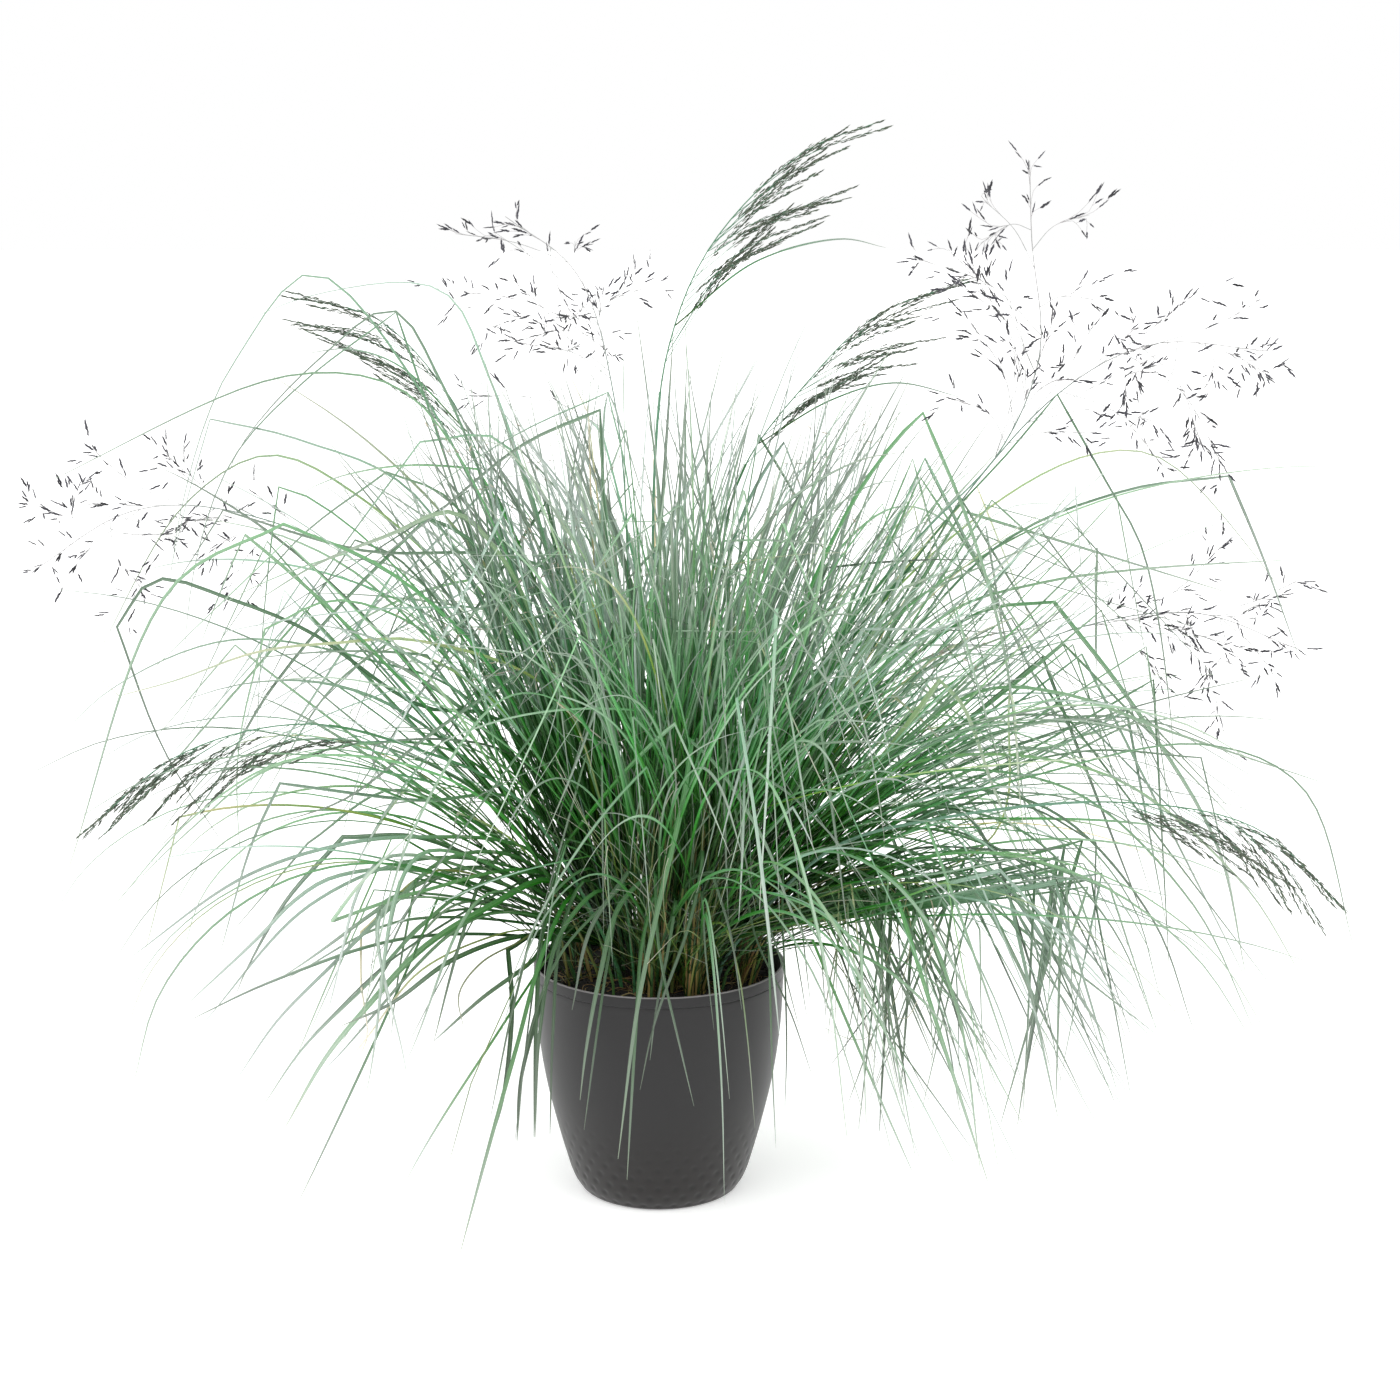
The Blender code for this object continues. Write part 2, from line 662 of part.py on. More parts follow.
def main():
    clear_scene()
    plant = new_collection("potted_lovegrass")
    guides = new_collection("guides")
    build_soil(plant)
    sections = {
        "leaf": section_curve("leaf_section", ((-0.5, 0), (0, -KEEL_SHARE), (0.5, 0)), guides),
        "culm": section_curve("culm_section", regular_corners(3), guides),
        "bundle": section_curve("bundle_section", regular_corners(BUNDLE_SIDES), guides),
    }
    free = all_sites(TUFTS + len(LONG_LEAVES) + len(DENSE_STEMS) + len(OPEN_STEMS))
    taken = []
    dense = new_material("dense_panicle", DENSE_COLOR, 0.6)
    for index, stem in enumerate(DENSE_STEMS):
        name = f"flower_stem_dense_{index + 1}"
        taken.append(build_stem(name, stem, DENSE_BRANCH_RADIUS, free, dense, sections, plant))
    airy = new_material("open_panicle", OPEN_COLOR, 0.6)
    for index, stem in enumerate(OPEN_STEMS):
        name = f"flower_stem_open_{index + 1}"
        taken.append(build_stem(name, stem, OPEN_BRANCH_RADIUS, free, airy, sections, plant))
    taken.extend(build_long_leaves(free, sections, plant))
    build_tufts(free, taken, sections, plant)
    build_pot(plant, new_collection("cutters"))


main()
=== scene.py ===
"""Looks of a potted lovegrass: an arching clump of keeled blades and two kinds of flower head, in a dark pot.

Each piece stands where its CAD node stands. Sizes in the classes are in millimetres and meshes are in metres.
"""

import heapq
import json
import logging
import math
from dataclasses import dataclass, field
from enum import Enum
from typing import Any

import bpy
import numpy as np
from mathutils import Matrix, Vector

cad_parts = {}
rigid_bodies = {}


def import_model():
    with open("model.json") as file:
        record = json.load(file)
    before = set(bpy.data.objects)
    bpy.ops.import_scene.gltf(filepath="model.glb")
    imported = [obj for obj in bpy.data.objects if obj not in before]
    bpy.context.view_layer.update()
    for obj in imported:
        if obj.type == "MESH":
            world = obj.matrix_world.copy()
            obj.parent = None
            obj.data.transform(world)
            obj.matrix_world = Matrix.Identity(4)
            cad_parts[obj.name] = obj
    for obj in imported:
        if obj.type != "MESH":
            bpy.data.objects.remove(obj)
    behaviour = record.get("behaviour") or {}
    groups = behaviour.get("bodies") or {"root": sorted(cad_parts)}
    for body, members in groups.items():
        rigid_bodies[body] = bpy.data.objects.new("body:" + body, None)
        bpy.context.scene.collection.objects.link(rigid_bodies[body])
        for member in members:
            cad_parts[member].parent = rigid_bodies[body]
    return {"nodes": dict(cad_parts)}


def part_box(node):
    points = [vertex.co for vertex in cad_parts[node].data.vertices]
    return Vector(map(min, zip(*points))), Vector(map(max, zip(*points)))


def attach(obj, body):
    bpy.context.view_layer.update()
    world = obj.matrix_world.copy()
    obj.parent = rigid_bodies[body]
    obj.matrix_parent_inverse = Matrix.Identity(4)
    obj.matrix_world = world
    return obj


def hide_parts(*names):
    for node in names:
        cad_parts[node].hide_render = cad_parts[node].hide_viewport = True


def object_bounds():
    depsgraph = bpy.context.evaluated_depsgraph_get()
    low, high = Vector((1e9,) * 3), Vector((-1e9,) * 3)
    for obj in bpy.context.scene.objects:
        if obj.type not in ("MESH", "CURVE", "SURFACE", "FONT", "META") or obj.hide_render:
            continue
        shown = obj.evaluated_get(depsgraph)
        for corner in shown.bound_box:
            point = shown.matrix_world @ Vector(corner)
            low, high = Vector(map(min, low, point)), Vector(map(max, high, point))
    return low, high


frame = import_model()
CAD_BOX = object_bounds()

MM = 0.001
# Height of the solids' corners where shoots and culms stand on the soil
SOIL_TOP = 192.4 * MM
Line = np.ndarray
Pair = tuple[float, float]
Triple = tuple[float, float, float]
Stops = tuple[tuple[float, str], ...]
Socket = bpy.types.NodeSocket
Node = bpy.types.Node
Tree = bpy.types.NodeTree
Thing = bpy.types.Object
LOG = logging.getLogger("potted_lovegrass")

# What a row of nodes needs to know of each kind: its operation's setting, the inputs in use and the output
ROW_KINDS = {
    "Math": ("operation", (0, 1, 2), 0),
    "VectorMath": ("operation", (0, 1, 2), 0),
    "MapRange": ("interpolation_type", (0, 1, 2, 3, 4), 0),
    "Mix": ("blend_type", (0, 6, 7), 2),
}


def linear(hex_color: str) -> tuple[float, float, float, float]:
    """Turns an sRGB hex colour into linear red, green, blue and alpha.

    Args:
        hex_color: Six hex digits after a number sign.

    Returns:
        The linear colour, with alpha 1.
    """
    shares = [int(hex_color[place : place + 2], 16) / 255 for place in (1, 3, 5)]
    red, green, blue = (s / 12.92 if s <= 0.04045 else ((s + 0.055) / 1.055) ** 2.4 for s in shares)
    return red, green, blue, 1.0


def add_node(tree: Tree, kind: str, settings: dict | None = None, inputs: dict | None = None) -> Node:
    """Adds a node, sets it up and joins it to the nodes before it.

    Args:
        tree: The tree that gets the node.
        kind: The node's type in Blender.
        settings: The node's own settings by name.
        inputs: Values, or sockets of other nodes, by the name or number of the input.

    Returns:
        The new node.
    """
    node = tree.nodes.new(kind)
    for name, value in (settings or {}).items():
        setattr(node, name, value)
    for key, value in (inputs or {}).items():
        if isinstance(value, Socket):
            tree.links.new(value, node.inputs[key])
        else:
            node.inputs[key].default_value = value
    return node


def calculate(tree: Tree, found: dict[str, Socket], steps: tuple[tuple, ...]) -> None:
    """Adds nodes in a row. Each may use what is found so far, and its result is added to that.

    Args:
        tree: The tree.
        found: Sockets by name.
        steps: For each the name of its result, its kind and operation, and its inputs as values or names.
    """
    for name, kind, operation, *values in steps:
        setting, places, result = ROW_KINDS[kind]
        settings = {"data_type": "RGBA"} if kind == "Mix" else {}
        used = [found[value] if isinstance(value, str) else value for value in values]
        node = add_node(tree, f"ShaderNode{kind}", settings | {setting: operation}, dict(zip(places, used)))
        found[name] = node.outputs[1 if operation in ("LENGTH", "DOT_PRODUCT") else result]


def fill_ramp(ramp: Node, stops: Stops) -> Socket:
    """Sets a colour ramp's stops.

    Args:
        ramp: The ramp node, with the two stops that a new one has.
        stops: Places from 0 to 1 and their colours.

    Returns:
        The socket of its colour.
    """
    elements = ramp.color_ramp.elements
    while len(elements) < len(stops):
        elements.new(0.5)
    for element, (place, color) in zip(elements, stops):
        element.position = place
        element.color = linear(color)
    return ramp.outputs["Color"]


def new_tree(name: str, sockets: dict[str, str]) -> tuple[Tree, Any]:
    """Starts a Geometry Nodes tree that takes a geometry and named values.

    Args:
        name: The tree's name.
        sockets: The kind of each named input, such as Float.

    Returns:
        The tree and its inputs' sockets by name.
    """
    tree = bpy.data.node_groups.new(name, "GeometryNodeTree")
    for label, kind in {"Geometry": "Geometry", **sockets}.items():
        tree.interface.new_socket(label, in_out="INPUT", socket_type=f"NodeSocket{kind}")
    tree.interface.new_socket("Geometry", in_out="OUTPUT", socket_type="NodeSocketGeometry")
    return tree, add_node(tree, "NodeGroupInput").outputs


def end_tree(tree: Tree, geometry: Socket, *coats: dict[str, Socket]) -> None:
    """Ends a Geometry Nodes tree with real copies and their materials.

    Args:
        tree: The tree.
        geometry: What the tree has made.
        coats: For each material its socket and, where it covers only a part, the selection's.
    """
    last = add_node(tree, "GeometryNodeRealizeInstances", None, {"Geometry": geometry}).outputs[0]
    for coat in coats:
        last = add_node(tree, "GeometryNodeSetMaterial", None, {"Geometry": last, **coat}).outputs[0]
    add_node(tree, "NodeGroupOutput", None, {0: last})


def run_tree(thing: Thing, tree: Tree, values: dict[str, Any]) -> None:
    """Runs a Geometry Nodes tree on an object and keeps the result as its plain mesh.

    Args:
        thing: The mesh object.
        tree: The tree.
        values: The tree's inputs by name.
    """
    modifier = thing.modifiers.new(tree.name, "NODES")
    modifier.node_group = tree
    for item in tree.interface.items_tree:
        if item.in_out == "INPUT" and item.name in values:
            modifier[item.identifier] = values[item.name]
    apply_modifiers(thing)


def apply_modifiers(thing: Thing) -> None:
    """Turns what an object's modifiers make into its plain mesh."""
    graph = bpy.context.evaluated_depsgraph_get()
    made = bpy.data.meshes.new_from_object(thing.evaluated_get(graph))
    rough = thing.data
    thing.modifiers.clear()
    thing.data = made
    bpy.data.meshes.remove(rough)


def mesh_object(name: str, points: Line, edges: Any = (), faces: Any = ()) -> Thing:
    """Makes a mesh object at the origin.

    Args:
        name: The object's name.
        points: Vertices in metres.
        edges: Pairs of vertex numbers.
        faces: Rows of vertex numbers.

    Returns:
        The object, linked to the scene.
    """
    mesh = bpy.data.meshes.new(name)
    mesh.from_pydata(np.asarray(points).tolist(), list(edges), list(faces))
    thing = bpy.data.objects.new(name, mesh)
    bpy.context.scene.collection.objects.link(thing)
    return thing


def remove(thing: Thing) -> None:
    """Removes an object that is no longer needed, with its mesh."""
    mesh = thing.data
    bpy.data.objects.remove(thing)
    bpy.data.meshes.remove(mesh)


def store(mesh: bpy.types.Mesh, name: str, values: Any, kind: str = "FLOAT") -> None:
    """Keeps one value for each vertex as a named attribute.

    Args:
        mesh: The mesh.
        name: The attribute's name.
        values: A number for each vertex, or three for a vector.
        kind: FLOAT or FLOAT_VECTOR.
    """
    attribute = mesh.attributes.new(name, kind, "POINT")
    key = "value" if kind == "FLOAT" else "vector"
    attribute.data.foreach_set(key, np.asarray(values, np.float32).ravel())


def settle(thing: Thing, nodes: tuple[str, ...] = (), sharp_deg: float = 42.0) -> None:
    """Shades a finished piece and ties it to the frame.

    Args:
        thing: The finished mesh object.
        nodes: CAD nodes that the piece stands for.
        sharp_deg: Edges that turn by more than this stay sharp.
    """
    thing.data.shade_smooth()
    thing.data.set_sharp_from_angle(angle=math.radians(sharp_deg))
    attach(thing, "root")
    if nodes:
        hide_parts(*nodes)
    LOG.info("%s: %d triangles", thing.name, sum(len(face.vertices) - 2 for face in thing.data.polygons))


# Lines that blades and stalks follow


def unit(arrow: Line) -> Line:
    """Gives an arrow's direction, one long."""
    return arrow / max(float(np.linalg.norm(arrow)), 1e-9)


def walked_along(line: Line) -> Line:
    """Gives the way walked along a line to each of its points."""
    return np.concatenate([[0.0], np.cumsum(np.linalg.norm(np.diff(line, axis=0), axis=1))])


def length_of(line: Line) -> float:
    """Gives a line's whole length."""
    return float(np.linalg.norm(np.diff(line, axis=0), axis=1).sum())


def even(line: Line, count: int) -> Line:
    """Spaces points evenly along a line.

    Args:
        line: Points of the line.
        count: How many points to return.

    Returns:
        The same line as count points at equal distances.
    """
    walked = walked_along(line)
    marks = np.linspace(0.0, walked[-1], count)
    return np.column_stack([np.interp(marks, walked, line[:, axis]) for axis in range(3)])


def smooth(knots: Line, count: int, fold: int | None = None) -> Line:
    """Draws a centripetal Catmull-Rom curve through knots.

    Args:
        knots: Points that the curve passes.
        count: How many points to return.
        fold: The knot where a leaf is creased, so that the curve turns sharply there.

    Returns:
        Evenly spaced points of the curve.
    """
    if fold is not None:
        before, after = smooth(knots[: fold + 1], 4 * count), smooth(knots[fold:], 4 * count)
        lengths = [length_of(part) for part in (before, after)]
        first = min(max(round(count * lengths[0] / sum(lengths)), 2), count - 2)
        return np.vstack([even(before, first)[:-1], even(after, count - first + 1)])
    if len(knots) == 2:
        return even(knots, count)
    ends = np.vstack([2 * knots[0] - knots[1], knots, 2 * knots[-1] - knots[-2]])
    pieces = []
    for start in range(len(knots) - 1):
        four = ends[start : start + 4]
        gaps = np.maximum(np.linalg.norm(np.diff(four, axis=0), axis=1), 1e-9) ** 0.5
        knot = np.concatenate([[0.0], np.cumsum(gaps)])
        time = np.linspace(knot[1], knot[2], 16)[:, None]
        level = [np.repeat(point[None], 16, axis=0) for point in four]
        for spans in (((0, 1), (1, 2), (2, 3)), ((0, 2), (1, 3)), ((1, 2),)):
            level = [
                first + (second - first) * (time - knot[low]) / (knot[high] - knot[low])
                for first, second, (low, high) in zip(level, level[1:], spans)
            ]
        pieces.append(level[0])
    return even(np.concatenate(pieces), count)


def angles_of(line: Line) -> tuple[Line, Line]:
    """Reads a line as angles.

    Args:
        line: Evenly spaced points.

    Returns:
        For each step, the lean from the vertical and the heading round it, in radians.
    """
    steps = np.diff(line, axis=0)
    heading = np.unwrap(np.arctan2(steps[:, 1], steps[:, 0]))
    return np.arctan2(np.hypot(steps[:, 0], steps[:, 1]), steps[:, 2]), heading


def grown(start: Line, lean: Line, heading: Line, length: float) -> Line:
    """Grows a line from its angles.

    Args:
        start: The first point.
        lean: The lean from the vertical at each step.
        heading: The heading at each step.
        length: The whole length.

    Returns:
        One more point than there are steps.
    """
    flat = np.sin(lean)
    steps = np.column_stack([flat * np.cos(heading), flat * np.sin(heading), np.cos(lean)])
    return np.vstack([start, start + np.cumsum(steps, axis=0) * (length / len(lean))])


def leaf_lines(node: str) -> list[Line]:
    """Finds the centre line of each leaf of a CAD node, as the shortest way along its edges from foot to tip.

    Args:
        node: The node's name.

    Returns:
        A smooth line for each leaf, in order of heading.
    """
    mesh = frame["nodes"][node].data
    rough = np.array([vertex.co for vertex in mesh.vertices])
    corners, same = np.unique(np.round(rough, 6), axis=0, return_inverse=True)
    same = same.ravel()
    near: list[set[int]] = [set() for _ in corners]
    for edge in mesh.edges:
        first, second = (int(same[vertex]) for vertex in edge.vertices)
        near[first].add(second)
        near[second].add(first)
    lowest = corners[:, 2].min()
    foot_height = lowest if lowest > 190 * MM else SOIL_TOP
    distance = np.full(len(corners), np.inf)
    before = np.full(len(corners), -1)
    queue = [(0.0, int(corner)) for corner in np.flatnonzero(abs(corners[:, 2] - foot_height) < MM)]
    for _, corner in queue:
        distance[corner] = 0.0
    while queue:
        walked, corner = heapq.heappop(queue)
        for other in near[corner]:
            further = walked + float(np.linalg.norm(corners[corner] - corners[other]))
            if further < distance[other]:
                distance[other] = further
                before[other] = corner
                heapq.heappush(queue, (further, other))
    tips: list[int] = []
    for corner in np.argsort(-distance):
        is_end = all(distance[corner] >= distance[other] for other in near[corner])
        apart = all(np.linalg.norm(corners[corner] - corners[tip]) > 6 * MM for tip in tips)
        if is_end and apart and distance[corner] > 250 * MM:
            tips.append(int(corner))
    lines = []
    for tip in tips:
        way = [tip]
        while before[way[-1]] >= 0:
            way.append(int(before[way[-1]]))
        places = []
        for corner in reversed(way):
            middle = corners[np.linalg.norm(corners - corners[corner], axis=1) < 5.5 * MM].mean(axis=0)
            if not places or np.linalg.norm(middle - places[-1]) > 20 * MM:
                places.append(middle)
        places[-1] = corners[tip]
        lines.append(smooth(np.array(places), 49))
    return sorted(lines, key=lambda line: math.atan2(line[-1, 1] - line[0, 1], line[-1, 0] - line[0, 0]))


def is_free(line: Line, ceiling: float = 0.72) -> bool:
    """Tells whether a leaf stays off rim, wall and floor, under a height and near the solids' box.

    A leaf that comes forward has to stay higher than one at the pot's side.

    Args:
        line: The leaf's points.
        ceiling: The height in metres.

    Returns:
        True where the leaf is free.
    """
    inner_edge, room, reach, lowest = 84 * MM, 15 * MM, 580 * MM, 16 * MM
    flat, radius = line[:, :2], np.hypot(line[:, 0], line[:, 1])
    low = line[:, 2] < Planter.height * MM + 5 * MM
    touches = (low & (radius > inner_edge) & (radius < (Planter.rim_radius + 5) * MM)).any()
    near_box = (flat > np.array(CAD_BOX[0][:2]) - room) & (flat < np.array(CAD_BOX[1][:2]) + room)
    in_reach = near_box.all() and radius.max() < reach
    floor = np.maximum(lowest, -0.6 * line[:, 1] - 80 * MM)
    return bool(not touches and in_reach and (line[:, 2] > floor).all() and line[:, 2].max() < ceiling)


# Finishes


@dataclass(frozen=True)
class Finish:
    """What finishes share: noise on Object coordinates, a colour, a fine relief and the shader's constants.

    Noise is its scale and detail. Relief is what raises it, its strength and its depth in millimetres.
    """

    name: str
    reads: tuple[str, ...] = ()
    noise: Pair = (90.0, 2.0)
    relief: tuple[str, float, float] = ("noise", 0.3, 0.1)
    constants: tuple[tuple[str, float], ...] = ()

    def material(self) -> bpy.types.Material:
        """Builds the material."""
        material = bpy.data.materials.new(self.name)
        material.use_nodes = True
        tree = material.node_tree
        shader = tree.nodes["Principled BSDF"]
        place = add_node(tree, "ShaderNodeTexCoord").outputs["Object"]
        inputs = {"Vector": place, "Scale": self.noise[0], "Detail": self.noise[1]}
        noise = add_node(tree, "ShaderNodeTexNoise", None, inputs)
        found = {"place": place, "noise": noise.outputs["Fac"]}
        for name in self.reads:
            found[name] = add_node(tree, "ShaderNodeAttribute", {"attribute_name": name}).outputs["Fac"]
        tree.links.new(self.color(tree, found), shader.inputs["Base Color"])
        raised, strength, depth = self.relief
        inputs = {"Height": found[raised], "Strength": strength, "Distance": depth * MM}
        bump = add_node(tree, "ShaderNodeBump", None, inputs)
        tree.links.new(bump.outputs["Normal"], shader.inputs["Normal"])
        for label, value in self.constants:
            shader.inputs[label].default_value = value
        return material

    def color(self, tree: Tree, found: dict[str, Socket]) -> Socket:
        """Mixes the finish's colour. Each finish has a way of its own.

        Args:
            tree: The material's tree.
            found: The sockets of the place, the noise and the attributes that the finish reads.

        Returns:
            The colour's socket.
        """
        raise NotImplementedError


@dataclass(frozen=True)
class LeafFinish(Finish):
    """Living grass blade: waxy skin over long veins, so it is satin with a soft pale sheen.

    The tone attribute picks the colour, from dry straw through bright and deep green to a bluish wax bloom.
    The colours along a blade are painted shade: they darken its foot, low in the clump, and barely touch its
    upper part. The heart colours paint shade into the clump's middle, darker and a little greener towards it.
    """

    name: str = "leaf_blade_green"
    reads: tuple[str, ...] = ("tone", "shade", "along", "across")
    noise: Pair = (14.0, 2.0)
    relief: tuple[str, float, float] = ("veins", 0.25, 0.05)
    constants: tuple[tuple[str, float], ...] = (("Roughness", 0.46), ("IOR", 1.45))
    stops: Stops = (
        (0.00, "#b9a368"), (0.07, "#aba552"), (0.14, "#76974a"), (0.30, "#4d9350"), (0.46, "#418048"),
        (0.60, "#37683f"), (0.74, "#578d66"), (0.88, "#6c997e"), (1.00, "#89a998"),
    )
    # Painted shade along a blade: darkest at its foot, where the clump shades it, nearly none near its tip.
    painted_shade_along_stops: Stops = (
        (0.00, "#788c65"), (0.12, "#82986e"), (0.34, "#cbcfc9"), (0.60, "#eee4ea"), (1.00, "#fcf0f8"),
    )
    # Painted shade in the clump's middle, by distance from its heart: darker and greener towards it.
    painted_heart_shade_stops: Stops = (
        (0.00, "#587442"), (0.12, "#62804b"), (0.40, "#78a05e"), (0.70, "#a2cb86"), (1.00, "#ffffff"),
    )
    heart_scale: Triple = (1.0, 1.1, 1.0)
    heart_height_mm: float = 200.0
    heart_radius_mm: float = 315.0
    foot_color: str = "#66622c"
    tip_color: str = "#8a8a52"
    midrib_color: str = "#9cc596"
    vein_spacing_mm: float = 0.4
    blade_width_mm: float = 4.0

    def color(self, tree: Tree, found: dict[str, Socket]) -> Socket:
        """Mixes the blade's colour and finds its veins.

        Args:
            tree: The material's tree.
            found: The sockets that the finish reads, to which the veins are added.

        Returns:
            The colour's socket.
        """
        drop = (0.0, 0.0, -self.heart_height_mm * MM)
        turns = math.pi * self.blade_width_mm / self.vein_spacing_mm
        steps = (
            ("drift", "Math", "MULTIPLY_ADD", "noise", 0.16, -0.08),
            ("own tone", "Math", "ADD", "tone", "drift"),
            ("off rib", "Math", "ABSOLUTE", "across"),
            ("rib", "MapRange", "LINEAR", "off rib", 0.0, 0.28, 0.35, 0.0),
            ("near foot", "MapRange", "LINEAR", "along", 0.0, 0.3, 0.8, 0.0),
            ("dry", "Math", "MULTIPLY_ADD", "shade", 0.8, 0.15),
            ("foot", "Math", "MULTIPLY", "near foot", "dry"),
            ("near tip", "MapRange", "LINEAR", "along", 0.9, 1.0, 0.0, 0.6),
            ("tip", "Math", "MULTIPLY", "near tip", "shade"),
            # Distance from the clump's heart, which sets how much painted shade a blade gets.
            ("from heart", "VectorMath", "MULTIPLY_ADD", "place", self.heart_scale, drop),
            ("distance", "VectorMath", "LENGTH", "from heart"),
            ("heart", "MapRange", "LINEAR", "distance", 50 * MM, self.heart_radius_mm * MM),
            ("light", "MapRange", "LINEAR", "shade", 0.0, 1.0, 1.4, 2.15),
            ("bloom", "MapRange", "LINEAR", "along", 0.3, 0.85, 1.15, 0.3),
            ("turn", "Math", "MULTIPLY", "across", turns),
            ("veins", "Math", "SINE", "turn"),
        )
        calculate(tree, found, steps)
        # The along and heart ramps below are painted shade.
        tints = (
            ("green", "own tone", self.stops),
            ("age", "along", self.painted_shade_along_stops),
            ("heart tint", "heart", self.painted_heart_shade_stops),
        )
        for name, share, stops in tints:
            ramp = add_node(tree, "ShaderNodeValToRGB", None, {"Fac": found[share]})
            found[name] = fill_ramp(ramp, stops)
        steps = (
            ("with rib", "Mix", "MIX", "rib", "green", linear(self.midrib_color)),
            ("with foot", "Mix", "MIX", "foot", "with rib", linear(self.foot_color)),
            ("with tip", "Mix", "MIX", "tip", "with foot", linear(self.tip_color)),
            # Multiplies in the painted shade along the blade.
            ("aged", "Mix", "MULTIPLY", 1.0, "with tip", "age"),
            # Multiplies in the painted shade of the clump's heart.
            ("in heart", "Mix", "MULTIPLY", 1.0, "aged", "heart tint"),
        )
        calculate(tree, found, steps)
        inputs = {"Saturation": found["bloom"], "Value": found["light"], "Color": found["in heart"]}
        return add_node(tree, "ShaderNodeHueSaturation", None, inputs).outputs["Color"]


@dataclass(frozen=True)
class StalkFinish(Finish):
    """Sheaths, culms and branchlets: smooth rolled tissue that dries from green to straw at its foot.

    The tone attribute picks the colour, from reddish straw through green to the lilac grey of the hair-thin
    branchlets.
    """

    name: str = "sheath_and_culm"
    reads: tuple[str, ...] = ("tone", "shade")
    noise: Pair = (90.0, 3.0)
    constants: tuple[tuple[str, float], ...] = (("Roughness", 0.5), ("IOR", 1.45))
    stops: Stops = (
        (0.00, "#7a5a35"), (0.12, "#9a8650"), (0.26, "#7c7c3c"), (0.40, "#557f42"),
        (0.55, "#3f7d4a"), (0.70, "#6d9a80"), (0.82, "#7f9488"), (1.00, "#c3bdbf"),
    )

    def color(self, tree: Tree, found: dict[str, Socket]) -> Socket:
        """Picks the stalk's colour by its tone and streaks, and darkens it by its shade.

        Args:
            tree: The material's tree.
            found: The sockets that the finish reads.

        Returns:
            The colour's socket.
        """
        steps = (
            ("drift", "Math", "MULTIPLY_ADD", "noise", 0.14, -0.07),
            ("own tone", "Math", "ADD", "tone", "drift"),
            ("light", "MapRange", "LINEAR", "shade", 0.0, 1.0, 0.3, 1.0),
        )
        calculate(tree, found, steps)
        ramp = fill_ramp(add_node(tree, "ShaderNodeValToRGB", None, {"Fac": found["own tone"]}), self.stops)
        inputs = {"Value": found["light"], "Color": ramp}
        return add_node(tree, "ShaderNodeHueSaturation", None, inputs).outputs["Color"]


@dataclass(frozen=True)
class SpikeletFinish(Finish):
    """Papery husks of the grass flowers, dark and dull, with paler edges."""

    reads: tuple[str, ...] = ("tone",)
    noise: Pair = (700.0, 2.0)
    constants: tuple[tuple[str, float], ...] = (("Roughness", 0.62),)
    dark: str = "#1c1c20"
    light: str = "#42414a"

    def color(self, tree: Tree, found: dict[str, Socket]) -> Socket:
        """Mixes the dark and the light of the husks by their tone and specks.

        Args:
            tree: The material's tree.
            found: The sockets that the finish reads.

        Returns:
            The colour's socket.
        """
        steps = (
            ("speckled", "Math", "MULTIPLY_ADD", "noise", 0.5, "tone"),
            ("share", "MapRange", "LINEAR", "speckled", 0.2, 1.3),
            ("husk", "Mix", "MIX", "share", linear(self.dark), linear(self.light)),
        )
        calculate(tree, found, steps)
        return found["husk"]


@dataclass(frozen=True)
class PotFinish(Finish):
    """Matte moulded polypropylene: an even dark grey with a very fine grain and a soft pale sheen."""

    name: str = "moulded_polypropylene_anthracite"
    reads: tuple[str, ...] = ("pressed",)
    noise: Pair = (1 / (0.5 * MM), 2.0)
    relief: tuple[str, float, float] = ("noise", 0.25, 0.05)
    constants: tuple[tuple[str, float], ...] = (
        ("Roughness", 0.45), ("Sheen Weight", 0.12), ("Sheen Roughness", 0.5), ("Specular IOR Level", 0.3),
    )
    body_color: str = "#1f1e1f"
    # Painted warm reflection, a little darker, on the pot's lower part.
    warm_reflection_color: str = "#1e1b1a"
    # Painted shade in the dimples.
    dimple_shade_color: str = "#151414"
    # Painted highlight along the rim's top edge.
    rim_highlight_color: str = "#7f7b7c"

    def color(self, tree: Tree, found: dict[str, Socket]) -> Socket:
        """Paints a warm reflection on the pot's lower part, shade in its dimples and a highlight on its rim's
        top edge.

        Args:
            tree: The material's tree.
            found: The sockets that the finish reads.

        Returns:
            The colour's socket.
        """
        found["height"] = add_node(tree, "ShaderNodeSeparateXYZ", None, {0: found["place"]}).outputs["Z"]
        steps = (
            ("lower", "MapRange", "LINEAR", "height", 110 * MM, 20 * MM),
            ("dimple", "MapRange", "LINEAR", "pressed", 0.15, 1.0),
            ("edge", "MapRange", "LINEAR", "height", 204.9 * MM, 205.4 * MM),
            # Paints a warm reflection towards the bottom.
            ("browned", "Mix", "MIX", "lower", linear(self.body_color), linear(self.warm_reflection_color)),
            # Paints shade into the dimples.
            ("dimpled", "Mix", "MIX", "dimple", "browned", linear(self.dimple_shade_color)),
            # Paints a highlight along the rim's top edge.
            ("worn", "Mix", "MIX", "edge", "dimpled", linear(self.rim_highlight_color)),
        )
        calculate(tree, found, steps)
        return found["worn"]


